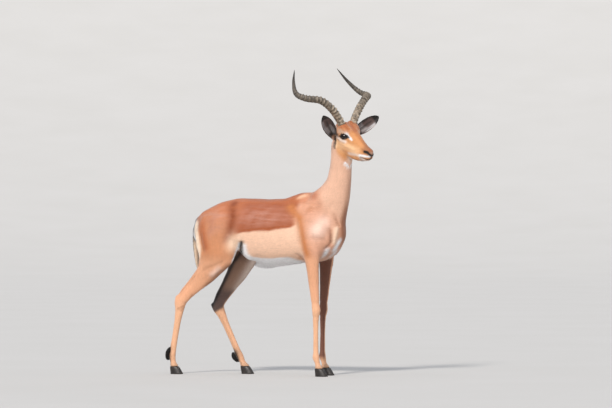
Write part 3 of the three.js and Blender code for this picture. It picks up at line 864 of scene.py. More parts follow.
@dataclass(frozen=True)
class KeratinFinish(Finish):
    """Horn and hoof: streaked, pitted and a little glossy."""

    wear: bpy.types.NodeTree
    dark: int
    pale: int
    roughness: float
    scale: float = 60.0
    attribute: str = ""

    def make(self) -> bpy.types.Material:
        """Builds the material."""
        material, sheet, shader = self.start()
        wear = sheet.add("Group", {"Scale": self.scale}, node_tree=self.wear).outputs
        spread = sheet.spread(wear["Streak"], 0.32, 0.68)
        colour = sheet.mix(spread, colour4(self.dark), colour4(self.pale))
        if self.attribute:
            own = sheet.add("Attribute", attribute_name=self.attribute).outputs["Color"]
            colour = sheet.mix(1.0, colour, own, "MULTIPLY")
        colour = sheet.tinted(0.7, colour, sheet.spread(wear["Pits"], 0.35, 0.6, 0.55, 1.0))
        rough = sheet.math("MULTIPLY_ADD", wear["Pits"], -0.3, self.roughness + 0.15)
        sheet.feed(shader, Base_Color=colour, Roughness=rough)
        sheet.bump(shader, wear["Pits"], 0.0008, 0.6)
        return material


@dataclass(frozen=True)
class EyeFinish(Finish):
    """The dark, wet eye."""

    def make(self) -> bpy.types.Material:
        """Builds the material."""
        material, sheet, shader = self.start()
        colour = sheet.add("Attribute", attribute_name="iris").outputs["Color"]
        place = sheet.add("TexCoord").outputs["Object"]
        shade = sheet.math("MULTIPLY_ADD", sheet.noise(place, 420.0, 3.0), 0.8, 0.6)
        sheet.feed(shader, Base_Color=sheet.tinted(1.0, colour, shade))
        shader.inputs["Roughness"].default_value = 0.3
        shader.inputs["Specular IOR Level"].default_value = 0.2
        shader.inputs["Coat Weight"].default_value = 0.45
        shader.inputs["Coat Roughness"].default_value = 0.02
        return material


@dataclass(frozen=True)
class BareSkinFinish(Finish):
    """Bare, dark, slightly moist skin, with a fine pebble."""

    colour: int = 0x1A1413
    roughness: float = 0.38

    def make(self) -> bpy.types.Material:
        """Builds the material."""
        material, sheet, shader = self.start()
        place = sheet.add("TexCoord").outputs["Object"]
        pebble = sheet.add("TexVoronoi", {"Vector": place, "Scale": 700.0}).outputs["Distance"]
        patch = sheet.noise(place, 160.0, 3.0)
        worn = (*np.minimum(linear(self.colour) * 2.4, 1), 1.0)
        colour = sheet.mix(patch, colour4(self.colour), worn)
        rough = sheet.math("MULTIPLY_ADD", patch, 0.25, self.roughness - 0.1)
        sheet.feed(shader, Base_Color=colour, Roughness=rough)
        sheet.bump(shader, pebble, 0.0004, 0.5)
        return material


# ---- Ears ---------------------------------------------------------------------------------------
@dataclass
class Ear:
    """A leaf-shaped ear, rolled at its root and open towards its front."""

    side: int
    axis: tuple
    opening: tuple = (0.7, -0.72, 0.0)
    root: tuple = (-60, 44, -10)
    length: float = 185.0
    thick: float = 4.4
    columns: int = 44
    rows: int = 110

    def frame(self) -> tuple:
        """The ear's own directions and root, in metres of the frame."""
        axis = (PLACE.level @ Vector(self.axis)).normalized()
        front = PLACE.level @ Vector(self.opening)
        front = (front - axis * front.dot(axis)).normalized()
        forward, out, up = self.root
        root = PLACE.from_eyes(forward, self.side * out, up)
        return tuple(np.array(v) for v in (axis, front, axis.cross(front), root))

    @staticmethod
    def sag(t: Points) -> Points:
        """How far the ear's middle line bends forward at t from root to tip, in millimetres."""
        return 16 * t * t - 10 * t

    def sizes(self, t: Points) -> tuple:
        """Half the flat width, half the roll and the wall's share of the thickness at t from root to tip."""
        places = [0, 0.08, 0.16, 0.3, 0.45, 0.6, 0.74, 0.84, 0.92, 0.97, 1]
        reach = np.interp(t, places, [24, 26, 29, 34.5, 38.5, 38, 34, 27.5, 18.5, 10, 3])
        roll = np.interp(t, places, [150, 134, 118, 93, 74, 64, 58, 52, 46, 43, 40])
        wall = np.interp(t, places, [1.5, 1.3, 1.15, 1.0, 0.92, 0.84, 0.78, 0.74, 0.7, 0.68, 0.66])
        return reach, np.radians(roll), wall

    def surface(self, t: Points, k: Points, out: Points) -> Points:
        """Points of the ear.

        Args:
            t: From the root at 0 to the tip at 1.
            k: From edge to edge, -1 to 1.
            out: Which face, 1 the back of the ear and -1 its hollow side.

        Returns:
            Points in metres.
        """
        axis, front, across, root = self.frame()
        reach, half, wall = self.sizes(t)
        bend = reach / half
        rim = 1 - 0.55 * np.abs(k) ** 6
        radius = bend + out * self.thick * wall * rim / 2
        angle = half * k
        forward = self.sag(t) + bend - radius * np.cos(angle)
        spine = root + np.outer(t * self.length * MM, axis)
        return spine + np.outer(forward * MM, front) + np.outer(radius * np.sin(angle) * MM, across)

    def build(self) -> bmesh.types.BMesh:
        """The ear as one closed shell: a grid bent into its hollow side and its back."""
        shape = bmesh.new()
        bmesh.ops.create_grid(shape, x_segments=self.rows, y_segments=self.columns, size=1.0)
        bmesh.ops.solidify(shape, geom=shape.faces, thickness=0.5)
        spots = np.array([vert.co for vert in shape.verts])
        middle = (spots[:, 2].max() + spots[:, 2].min()) / 2
        out = np.where(spots[:, 2] > middle, 1.0, -1.0)
        placed = self.surface((spots[:, 0] + 1) / 2, spots[:, 1], out)
        for vert, place in zip(shape.verts, placed):
            vert.co = place
        bmesh.ops.recalc_face_normals(shape, faces=shape.faces)
        return shape

    def local(self, points: Points) -> tuple:
        """Where points lie on the ear.

        Returns:
            Share of the length, share across from edge to edge, and how far in front of the leaf's
            middle surface, in millimetres.
        """
        axis, front, across, root = self.frame()
        offset = (points - root) / MM
        t = np.clip(offset @ axis / self.length, 0, 1)
        reach, half, _ = self.sizes(t)
        bend = reach / half
        ahead = offset @ front - self.sag(t) - bend
        sideways = offset @ across
        radius = np.hypot(ahead, sideways)
        angle = np.arctan2(sideways, -ahead)
        return t, angle / half, bend - radius

    def share(self, points: Points) -> Points:
        """1 on this ear's leaf and 0 elsewhere, fading in above its root."""
        axis, _, _, root = self.frame()
        rise = (points - root) @ axis / MM
        t, across, inside = self.local(points)
        near = (np.abs(inside) < 8) & (np.abs(across) < 1.35) & (rise > 2) & (rise < self.length + 12)
        return np.where(near & (PLACE.head(points)[:, 0] < 10), ease(t, 0.1, 0.2), 0)


EARS = {
    "ear_right": Ear(side=-1, axis=(0.27, -0.71, 0.65)),
    "ear_left": Ear(side=1, axis=(0.58, 0.6, 0.55)),
}


def ear_share(points: Points) -> Points:
    """1 on the leaf of either ear and 0 elsewhere."""
    return np.maximum(*(ear.share(points) for ear in EARS.values()))


class EarMarkings:
    """The ears' colours, laid over the markings of the rest."""

    @staticmethod
    def lay(points: Points, colour: Points) -> None:
        """Recolours, in place, the points that belong to an ear."""
        names = (Hue.THIGH, Hue.MAUVE, Hue.DARK_GREY, Hue.WHITE, Hue.BLACK)
        back, lining, root, white, black = (linear(hue.value) for hue in names)
        for ear in EARS.values():
            mask = ear.share(points)
            chosen = np.flatnonzero(mask > 0)
            t, across, inside = (values[chosen] for values in ear.local(points))
            upper, edge = -across * ear.side, np.abs(across)
            ribs = ease(np.cos(across * 9.5 + 0.4), 0.0, 0.8) * ease(t, 0.85, 0.6)
            streaks = ease(wobble(np.stack([t * 30, across * 60, across * 0], 1), 6, 3), -0.3, 0.5)
            flecks = ease(wobble(np.stack([t * 60, across * 40, across * 0], 1), 11, 5), 0.1, 0.7)
            tip = ease(t, 0.42, 0.56) * ease(t, 0.88, 0.76)
            tip *= ease(upper, -0.3, -0.5) * ease(upper, -0.98, -0.86)
            low = ease(t, 0.14, 0.2) * ease(t, 0.46, 0.34) * ease(upper, 0.0, 0.2) * ease(upper, 0.75, 0.55)
            # painted shade: the right ear's lining gets less white than the left's
            pale = (0.7 if ear.side > 0 else 0.7 * 0.45) * tip + 0.45 * low
            layers = (
                (root, 0.75 * ribs),
                (white, pale * (0.35 + 0.65 * streaks)),
                (white, 0.2 * flecks * ease(t, 0.2, 0.3) * ease(t, 0.8, 0.7) * ease(edge, 0.85, 0.7)),
                (root, 0.75 * ease(np.abs(upper - 0.08 + 0.1 * streaks), 0.24, 0.08) * ease(t, 0.85, 0.7)),
                (root, ease(t, 0.36, 0.24) * ease(upper, 0.0, -0.25)),
            )
            tone = np.tile(0.8 * lining, (len(chosen), 1))
            for shade, share in layers:
                tone += np.clip(share, 0, 1)[:, None] * (shade - tone)
            tone = back + ease(inside, -0.6, 0.6)[:, None] * (tone - back)
            dark = ease(t, 0.8, 0.87) + ease(upper, 0.78, 0.88) * ease(t, 0.1, 0.2)
            dark += 0.8 * ease(edge, 0.93, 0.98) + 0.8 * ease(t, 0.32, 0.2) * (0.5 + 0.5 * streaks)
            tone += np.clip(dark, 0, 1)[:, None] * (black - tone)
            colour[chosen] += mask[chosen, None] * (tone - colour[chosen])


# ---- Skin ---------------------------------------------------------------------------------------
@dataclass
class Skin:
    """One skin over the whole animal, a coat's depth inside the solids."""

    coarse: float = 0.004  # the first wrap's voxel, in metres
    fine: float = 0.002  # the second wrap's
    triangles: int = 186000
    growth: float = 0.5
    lid_depth: float = 1.7
    sunk_depth: float = 4.0
    body_relief: tuple = (  # height, then the ends and half width of a ridge, in millimetres
        (4.0, ((250, 84, 838), (280, 96, 770)), 26),
        (7.5, ((319, 103, 704), (330, 92, 724)), 27),
        (-2.0, ((288, 107, 674), (340, 84, 664)), 11),
        (3.0, ((270, 108, 640), (300, 104, 610)), 18),
        (-8.0, ((365, 64, 712), (369, 60, 645)), 7),
        (-5.0, ((369, 60, 645), (340, 66, 620)), 7),
        (5.0, ((392, 49, 715), (378, 49, 645)), 10),
        (-4.0, ((376, 52, 792), (400, 42, 730)), 7),
        (-3.0, ((344, 74, 770), (372, 64, 830)), 14),
        (-3.5, ((204, 98, 800), (216, 108, 640)), 8),
        (3.5, ((240, 104, 730), (256, 106, 610)), 16),
        (3.0, ((304, 92, 610), (306, 88, 540)), 10),
        (-2.5, ((284, 98, 640), (290, 94, 560)), 6),
        (4.5, ((204, 34, 872), (226, 26, 884)), 16),
        (-3.5, ((240, 24, 884), (246, 44, 866)), 12),
        (3.5, ((278, 40, 880), (312, 50, 860)), 20),
        (-4.0, ((-140, 98, 770), (-150, 112, 690)), 13),
        (3.5, ((-226, 104, 768), (-236, 116, 700)), 32),
        (4.5, ((-132, 108, 660), (-150, 108, 610)), 24),
        (2.5, ((-286, 121, 690), (-262, 124, 610)), 16),
        (-3.0, ((-306, 116, 680), (-286, 122, 600)), 8),
        (-3.0, ((-286, 119, 511), (-184, 119, 552)), 9),
        (4.0, ((-244, 112, 490), (-206, 114, 518)), 15),
        (-3.0, ((-330, 62, 742), (-352, 62, 560)), 14),
        (4.0, ((-240, 62, 856), (-206, 52, 866)), 18),
        (6.5, ((-338, 40, 800), (-300, 56, 815)), 18),
        (2.0, ((-120, 66, 812), (150, 70, 806)), 24),
        (-3.5, ((126, 112, 612), (144, 104, 582)), 5),
        (-5.5, ((196, 80, 590), (212, 74, 572)), 7),
        (-12.0, ((-92, 101, 647), (-98, 92, 604)), 8),
        (-4.5, ((-429, 93, 399), (-343, 108, 479)), 5),
        (-4.0, ((392, 40, 900), (398, 34, 1040)), 9),
        (3.0, ((350, 52, 860), (392, 34, 1080)), 14),
        (-2.0, ((310, 60, 930), (350, 50, 1010)), 12),
    )
    face_relief: tuple = (  # the same in the skull frame, and spots with three radii
        (7.5, ((-22, 45, 25), (-4, 46, 24), (12, 44, 21)), 9),
        (3.0, (-12, 22, 46), (22, 18, 14)),
        (1.6, ((-20, 50, -19), (16, 47, -17)), 6),
        (-2.6, ((24, 42, -6), (44, 38, -14)), 7),
        (2.8, ((-6, 48, -34), (30, 43, -34), (72, 35, -26)), 9),
        (-2.4, ((64, 36, -10), (112, 29, -8)), 13),
        (2.6, (-8, 42, -58), (26, 30, 18)),
        (-2.0, ((30, 30, -64), (96, 22, -52)), 9),
        (2.4, ((132, 24, 2), (156, 18, 12)), 9),
        (-5.5, ((141, 25, 1), (157, 19, 7)), 3.2),
        (-3.0, ((157, 19, 7), (164, 13, 2)), 2.6),
        (-3.2, ((126, 25, -38), (152, 20, -32)), 2.4),
        (-3.2, ((152, 20, -32), (168, 4, -22)), 2.4),
        (1.5, ((130, 24, -45), (158, 10, -40)), 6),
        (-2.0, ((171, 0, -2), (171, 0, -20)), 2.4),
        (13.0, (-41, 21, 52), (15, 13, 13)),
        (-2.5, (10, 0, 42), (26, 12, 14)),
    )

    def union(self) -> bpy.types.Object:
        """Grows the flesh nodes into each other and wraps them in one even mesh."""
        shape = merged_copy(FLESH_NODES)
        shape.normal_update()
        for vert in shape.verts:
            vert.co += vert.normal * self.growth * MM
        piece = new_piece("skin", shape)
        eyes = bmesh.new()
        for side in SIDES.values():
            spot = Matrix.Translation(PLACE.on_skull(0, side * (EYE_OUT - 2), EYE_ABOVE))
            bmesh.ops.create_icosphere(eyes, subdivisions=4, radius=(EYE_RADIUS - 1) * MM, matrix=spot)
        self.join(piece, eyes)
        applied(piece, "REMESH", mode="VOXEL", voxel_size=self.coarse)
        return piece

    def join(self, piece: bpy.types.Object, extra: bmesh.types.BMesh) -> None:
        """Adds a closed bmesh to a piece's mesh, and frees it."""
        extra.from_mesh(piece.data)
        extra.to_mesh(piece.data)
        extra.free()

    def reach(self, points: Points) -> Points:
        """How far the first smoothing spreads at each point, in metres."""
        body = PLACE.body(points)
        x, y, z = body.T
        spread = np.interp(z, [0, 300, 360, 440, 520, 600], [3.0, 3.5, 5, 9, 13, 19])
        spread = np.where((z > 830) & (x > 280), np.interp(z, [830, 960, 1100], [18, 13, 10]), spread)
        spread += ease(z, 800, 850) * ease(x, 360, 300) * (13 - spread)
        spread += blob(mirrored(body), (-120, 90, 600), (50, 60, 60)) * (8 - spread)
        spread += head_share(points) * (6.0 - spread)
        tail = ease(x, -366, -374) * ease(np.abs(y), 30, 24) * ease(z, 790, 770)
        spread += tail * (4.0 - spread)
        return spread * MM

    def shape_body(self, skin: Shell) -> None:
        """Lays muscles, hollows and folds over the trunk, neck and thighs."""
        body = PLACE.body(skin.points)
        head = head_share(skin.points)
        fold = mirrored(body)
        lift = sum(height * soft(fold, where, size) for height, where, size in self.body_relief)
        x, _, z = body.T
        ribs = np.sin((x + 0.35 * z) / 6.2) * ease(x, -60, 0) * ease(x, 190, 150)
        lift += 0.5 * ribs * ease(z, 600, 640) * ease(z, 760, 700)
        lift += 0.8 * wobble(body, 34, 5) * ease(z, 420, 560)
        skin.points += (lift * (1 - head) * MM)[:, None] * skin.normals()
        skin.points[:, 2] -= 24 * MM * blob(fold, (-66, 60, 598), (36, 36, 34))
        skin.store()

    def shape_legs(self, skin: Shell) -> None:
        """Models knee, hock, tendons, fetlock and pastern round each leg's own middle line."""
        body = PLACE.body(skin.points)
        lift = np.zeros(len(body))
        for leg in LEG_NODES:
            low, high = body_box(leg)
            side = 1 if low[1] + high[1] > 0 else -1
            inside = (body[:, 0] > low[0] - 8) & (body[:, 0] < high[0] + 8) & (body[:, 1] * side > 18)
            chosen = np.flatnonzero(inside & (body[:, 2] < 470))
            spots = body[chosen]
            levels = np.arange(34, 470, 8.0)
            bands = [spots[np.abs(spots[:, 2] - level) < 6] for level in levels]
            middle = [(band.max(0) + band.min(0)) / 2 for band in bands]
            half = [(band.max(0) - band.min(0)) / 2 for band in bands]
            u, v = (
                (spots[:, k] - np.interp(spots[:, 2], levels, [m[k] for m in middle]))
                / np.interp(spots[:, 2], levels, [h[k] for h in half])
                for k in (0, 1)
            )
            lift[chosen] += self.limb(u, v * side, spots[:, 2], "fore" in leg)
        skin.points += (lift * MM)[:, None] * skin.normals()
        skin.store()

    @staticmethod
    def limb(u: Points, v: Points, z: Points, fore: bool) -> Points:
        """How far a lower leg's surface is raised, in millimetres.

        Args:
            u: Place from back to front, -1 to 1.
            v: Place from the inner to the outer side, -1 to 1.
            z: Height in millimetres.
            fore: Whether it is a foreleg.

        Returns:
            The height of the relief.
        """
        flank = ease(np.abs(v), 0.35, 0.8)
        cannon = ease(z, 112, 140) * ease(z, 292 if fore else 318, 262)
        lift = -1.7 * cannon * flank * hump(u, -0.28, 0.2)
        lift += 0.9 * cannon * hump(u, -0.85, 0.3)
        lift += 2.3 * hump(z, 98, 12) * (0.6 - 0.4 * u)
        lift += 2.2 * ease(z, 54, 42) - 1.5 * hump(z, 66, 10)
        if fore:
            lift += 2.2 * hump(z, 322, 17) * (0.6 + 0.5 * u)
            lift -= 1.6 * hump(z, 288, 9) + 1.2 * hump(z, 356, 10)
            lift += 1.5 * flank * np.exp(-(((z - 316) / 12) ** 2 + ((u + 0.4) / 0.3) ** 2))
        else:
            lift -= 3.2 * flank * ease(z, 350, 380) * ease(z, 466, 440) * hump(u, -0.42, 0.17)
            lift += 1.8 * flank * np.exp(-(((z - 338) / 16) ** 2 + ((u - 0.1) / 0.4) ** 2))
            lift -= 1.8 * flank * np.exp(-(((z - 312) / 8) ** 2 + ((u - 0.4) / 0.5) ** 2))
        return lift

    def open_eyes(self, skin: Shell) -> None:
        """Parts the lids over each eyeball and lets the skin hug it."""
        for side in SIDES.values():
            centre = np.array(PLACE.on_skull(0, side * EYE_OUT, EYE_ABOVE))
            offset = (skin.points - centre) / MM
            skull = offset @ np.array(PLACE.skull)
            out = skull[:, 1] * side
            distance = np.linalg.norm(skull, axis=1)
            near = (distance < 40) & (out > -6)
            q = EyeOpening.measure(skull)
            direction = offset / np.maximum(distance, 1e-6)[:, None]
            sunk, hug = EYE_RADIUS - self.sunk_depth, EYE_RADIUS + self.lid_depth
            inside = near & (q < 1)
            outside = near & (q >= 1) & (distance < hug + 7)
            target = np.where(inside, np.minimum(distance, sunk), distance)
            lid = np.maximum(distance, hug)
            close = ease(q, 1.7, 1.05)
            target = np.where(outside, lid + close * (hug - lid), target)
            skin.points += np.where(near, target - distance, 0)[:, None] * direction * MM
        skin.store()

    def shape_face(self, skin: Shell) -> None:
        """Brow, cheek, jaw, nostrils and the line of the mouth."""
        skull = mirrored(PLACE.head(skin.points))
        head = head_share(skin.points) * (1 - ear_share(skin.points))
        lift = sum(height * soft(skull, where, size) for height, where, size in self.face_relief)
        skin.points += (lift * head * MM)[:, None] * skin.normals()
        for side in SIDES.values():
            foot, ahead = (PLACE.from_eyes(f, o * side, u) for f, o, u in Horn.path[:2])
            way = np.array((Vector(ahead) - Vector(foot)).normalized())
            offset = skin.points - np.array(foot)
            rise = offset @ way
            radius = np.linalg.norm(offset - rise[:, None] * way, axis=1) / MM
            collar = 0.93 * ease(radius, 50, 26) * ease(rise / MM, -62, -20)
            height = (18 - 1.05 * np.clip(radius - 17, 0, 60)) * MM
            skin.points += (collar * np.clip(height - rise, 0, 0.045))[:, None] * way
        skin.store()

    def coat_depth(self, points: Points) -> Points:
        """How deep the coat lies over the skin, in metres."""
        depth = np.interp(PLACE.body(points)[:, 2], [0, 60, 300, 500, 600], [0.5, 0.8, 0.9, 1.6, 2.2])
        return (depth + head_share(points) * (1.0 - depth)) * (1 - ear_share(points)) * MM

    def build(self) -> bpy.types.Object:
        """Makes the skin and returns it."""
        piece = self.union()
        skin = Shell(piece)
        skin.relax(self.reach(skin.points), self.coarse, 110)
        self.shape_body(skin)
        for ear in EARS.values():
            self.join(piece, ear.build())
        applied(piece, "REMESH", mode="VOXEL", voxel_size=self.fine)
        skin = Shell(piece)
        skin.relax(np.full(len(skin.points), 0.0022), self.fine, 6)
        self.shape_legs(skin)
        skin.points -= self.coat_depth(skin.points)[:, None] * skin.normals()
        skin.store()
        self.shape_face(skin)
        self.open_eyes(skin)
        log.info("skin: %d vertices before thinning", len(skin.points))
        self.thin(piece)
        piece.data.shade_smooth()
        return piece

    def thin(self, piece: bpy.types.Object) -> None:
        """Brings the mesh under its limit, keeping the most detail in the head and feet."""
        skin = Shell(piece)
        low = ease(PLACE.body(skin.points)[:, 2], 460, 300)
        keep = np.clip(0.12 + head_share(skin.points) + 0.25 * low, 0, 1)
        group = piece.vertex_groups.new(name="keep")
        for level in np.unique(np.round(keep, 1)):
            chosen = np.flatnonzero(np.round(keep, 1) == level)
            group.add(chosen.tolist(), float(level), "REPLACE")
        faces = len(piece.data.loops) - 2 * len(piece.data.polygons)
        applied(
            piece,
            "DECIMATE",
            ratio=min(1.0, self.triangles / faces),
            vertex_group="keep",
            invert_vertex_group=True,
            vertex_group_factor=4.0,
            use_collapse_triangulate=True,
        )
        piece.vertex_groups.clear()


class EyeOpening:
    """The almond between the lids, in millimetres of the skull frame from the eye's centre."""

    slant = math.radians(29)
    front = 20.5
    rear = -17.0
    top = 11.5
    bottom = -11.0

    @classmethod
    def outline(cls, angle: float) -> tuple:
        """The opening's edge, forward and above the eye's centre, at an angle from the front corner."""
        middle, half = (cls.front + cls.rear) / 2, (cls.front - cls.rear) / 2
        sine = math.sin(angle)
        arch = math.copysign(0.6 * abs(sine) + 0.4 * sine * sine, sine)
        lean = 0.5 - 0.5 * math.cos(angle)
        height = (cls.top if sine > 0 else -cls.bottom) * arch * (0.86 + 0.24 * lean)
        u, v = middle + half * math.cos(angle), height
        c, s = math.cos(cls.slant), math.sin(cls.slant)
        return u * c - v * s, u * s + v * c

    @classmethod
    def measure(cls, offset: Points) -> Points:
        """0 in the middle of the opening, 1 at the lids and more outside."""
        edge = np.array([cls.outline(a) for a in np.linspace(0, 2 * math.pi, 97)])
        bearing = np.unwrap(np.arctan2(edge[:, 1], edge[:, 0]))
        start = bearing[0]
        own = (np.arctan2(offset[:, 2], offset[:, 0]) - start) % (2 * math.pi) + start
        limit = np.interp(own, bearing, np.hypot(edge[:, 0], edge[:, 1]))
        return np.hypot(offset[:, 0], offset[:, 2]) / limit


# ---- Colour and unwrap of the skin --------------------------------------------------------------
def finish_skin(piece: bpy.types.Object) -> None:
    """Paints the markings on the skin, stores the lie of its hair and unwraps it."""
    skin = Shell(piece)
    paint(piece, COLOUR_LAYER, Markings(skin.points, skin.normals()).run())
    paint(piece, LIE_LAYER, lie_of_coat(skin.points) ** 2)
    unwrap(piece)


def unwrap(piece: bpy.types.Object) -> None:
    """Unwraps a piece on the map for baking."""
    with acting_on(piece):
        bpy.context.view_layer.objects.active = piece
        piece.select_set(True)
        bpy.ops.object.mode_set(mode="EDIT")
        bpy.ops.mesh.select_all(action="SELECT")
        bpy.ops.uv.smart_project(angle_limit=math.radians(66), island_margin=0.001)
        bpy.ops.object.mode_set(mode="OBJECT")
        piece.select_set(False)
    piece.data.uv_layers[0].name = BAKE_MAP


# ---- Horns --------------------------------------------------------------------------------------
@dataclass
class Horn:
    """A lyre-shaped horn with strong rings on its lower two thirds."""

    side: int
    path: tuple = (
        (-14, 38, 44),
        (-18, 50, 77),
        (-25, 97, 136),
        (-41, 153, 177),
        (-86, 217, 192),
        (-142, 218, 214),
        (-187, 188, 266),
        (-218, 148, 330),
    )
    rings: int = 300
    sides: int = 32
    ridges: float = 19.0
    radii: tuple = ((0, 0.12, 0.3, 0.5, 0.7, 0.85, 0.96, 1), (18, 18.5, 18, 16, 11.5, 7, 3, 0.7))
    tones: tuple = ((0, 0.15, 0.35, 0.7, 0.9, 1), (1.0, 0.9, 0.45, 0.28, 0.12, 0.08))

    def centre_line(self) -> Points:
        """Evenly spaced points along the horn, in metres, on a centripetal curve through its path."""
        knots = np.array([PLACE.from_eyes(f, self.side * o, u) for f, o, u in self.path])
        first, last = 2 * knots[0] - knots[1], 2 * knots[-1] - knots[-2]
        whole = np.vstack([first, knots, last])
        dense = []
        for p0, p1, p2, p3 in zip(whole, whole[1:], whole[2:], whole[3:]):
            gaps = [np.linalg.norm(b - a) ** 0.5 for a, b in ((p0, p1), (p1, p2), (p2, p3))]
            m1 = ((p1 - p0) / gaps[0] - (p2 - p0) / (gaps[0] + gaps[1]) + (p2 - p1) / gaps[1]) * gaps[1]
            m2 = ((p2 - p1) / gaps[1] - (p3 - p1) / (gaps[1] + gaps[2]) + (p3 - p2) / gaps[2]) * gaps[1]
            s = np.linspace(0, 1, 60, endpoint=False)[:, None]
            dense.append(
                (2 * s**3 - 3 * s**2 + 1) * p1
                + (s**3 - 2 * s**2 + s) * m1
                + (3 * s**2 - 2 * s**3) * p2
                + (s**3 - s**2) * m2
            )
        line = np.vstack([*dense, knots[-1:]])
        run = np.concatenate([[0], np.cumsum(np.linalg.norm(np.diff(line, axis=0), axis=1))])
        even = np.linspace(0, run[-1], self.rings)
        return np.stack([np.interp(even, run, line[:, k]) for k in range(3)], 1)

    def radius(self, t: float) -> float:
        """The horn's plain radius in millimetres at t from root to tip."""
        return float(np.interp(t, *self.radii))

    def ridge(self, t: float, front: Points) -> Points:
        """How much the rings swell the horn at t, most on the front and top of its curve."""
        phase = self.ridges * (t / 0.72) ** 1.06 + 0.12 * np.sin(front * 3)
        knob = np.abs(np.cos(np.pi * phase)) ** 4.5
        fine = 0.5 + 0.5 * np.cos(10 * np.pi * phase)
        fade = float(ease(np.array([t]), 0.78, 0.64)[0] * ease(np.array([t]), 0.0, 0.06)[0])
        share = 0.06 + (0.16 + 0.08 * math.sin(37 * t)) * ease(front, -0.4, 0.9)
        return fade * (share * knob - 0.05 + 0.018 * fine)

    def build(self, finish: bpy.types.Material) -> bpy.types.Object:
        """Makes the horn."""
        line = self.centre_line()
        shape = bmesh.new()
        rings = []
        normal = (PLACE.level @ Vector((0.7, 0, 0.7))).normalized()
        facing = normal.copy()
        angles = 2 * math.pi * np.arange(self.sides) / self.sides
        shades = []
        for i, centre in enumerate(line):
            t = i / (self.rings - 1)
            way = Vector(line[min(i + 1, self.rings - 1)] - line[max(i - 1, 0)]).normalized()
            normal = (normal - way * normal.dot(way)).normalized()
            middle = Vector(centre)
            ring = circle(shape, self.sides, 1.0, ring_place(middle, normal, way.cross(normal), way))
            front = np.array([(vert.co - middle).normalized().dot(facing) for vert in ring])
            lumps = 1 + 0.02 * np.sin(3 * angles + 9 * t) + 0.012 * np.sin(7 * angles + 31 * t)
            swell = self.ridge(t, front)
            for vert, share, lump in zip(ring, swell, lumps):
                size = self.radius(t) * (1 + share) * lump * MM
                vert.co = middle + (vert.co - middle).normalized() * size
            tone = float(np.interp(t, *self.tones))
            # painted highlight on the ridges of the rings and painted shade in the gaps between them
            shades += [tone * (0.85 + 2.6 * share) for share in swell]
            rings.append(ring)
        bridge_rings(shape, rings)
        node = f"horn_{side_name(self.side)}"
        piece = new_piece(f"{node}_shape", shape)
        paint(piece, "tone", np.tile(np.array(shades)[:, None], (1, 3)))
        dress(piece, finish, "horn", node)
        return piece


# ---- Eyes ---------------------------------------------------------------------------------------
@dataclass
class Eye:
    """A dark eyeball with a level pupil, and the bare rim of its lids."""

    side: int
    pupil: tuple = (0.5, 0.17)  # its angle from the middle and its half height, of a radius of 1
    iris: float = 0.68
    rim_rings: int = 84
    rim_sides: int = 10

    def centre(self) -> Vector:
        """The middle of the eyeball, in metres of the frame."""
        return PLACE.on_skull(0, self.side * EYE_OUT, EYE_ABOVE)

    def ball(self, finish: bpy.types.Material) -> bpy.types.Object:
        """Makes the eyeball."""
        shape = bmesh.new()
        bmesh.ops.create_uvsphere(shape, u_segments=72, v_segments=48, radius=1.0)
        outward = Vector((0.3, self.side * 0.95, 0.04)).normalized()
        turn = outward.to_track_quat("Z", "Y").to_matrix()
        spots = np.array([vert.co for vert in shape.verts])
        polar = np.arccos(np.clip(spots[:, 2], -1, 1))
        bulge = 1 + 0.035 * ease(polar, 0.75, 0.3)
        centre = self.centre()
        tones = []
        for vert, angle, swell in zip(shape.verts, polar, bulge):
            looking = turn @ vert.co
            level = PLACE.skull @ looking
            flat = abs((PLACE.level.transposed() @ level).z)
            pupil = angle < self.pupil[0] and flat < self.pupil[1]
            tones.append(0x030202 if pupil else 0x1E110B if angle < self.iris else 0x0C0807)
            vert.co = centre + level * (EYE_RADIUS - 0.2) * float(swell) * MM
        name = side_name(self.side)
        piece = new_piece(f"eyeball_{name}", shape)
        paint(piece, "iris", np.array([linear(tone) for tone in tones]))
        dress(piece, finish, "eye", f"eye_{name}")
        return piece

    def rim(self, finish: bpy.types.Material) -> bpy.types.Object:
        """Makes the bare black rim where the lids meet the eyeball."""
        shape = bmesh.new()
        count = self.rim_rings
        hug = EYE_RADIUS + 0.6
        spots = []
        for i in range(count):
            along, above = EyeOpening.outline(2 * math.pi * i / count)
            flat = math.hypot(along, above)
            out = math.sqrt(max(hug * hug - flat * flat, 6.0))
            spots.append(Vector((along, self.side * out, above)))
        rings = []
        for i, spot in enumerate(spots):
            way = (spots[(i + 1) % count] - spots[i - 1]).normalized()
            outward = spot.normalized()
            place = ring_place(spot * MM, outward, way.cross(outward).normalized(), way)
            thick = 2.0 + 0.5 * abs(math.sin(math.pi * i / count)) ** 3
            rings.append(circle(shape, self.rim_sides, thick * MM, place))
        bridge_rings(shape, rings + [rings[0]], cap=False)
        place = Matrix.Translation(self.centre()) @ PLACE.skull.to_4x4()
        bmesh.ops.transform(shape, matrix=place, verts=shape.verts)
        bmesh.ops.recalc_face_normals(shape, faces=shape.faces)
        piece = new_piece(f"eyelid_rim_{side_name(self.side)}", shape)
        dress(piece, finish, "bare_skin")
        return piece


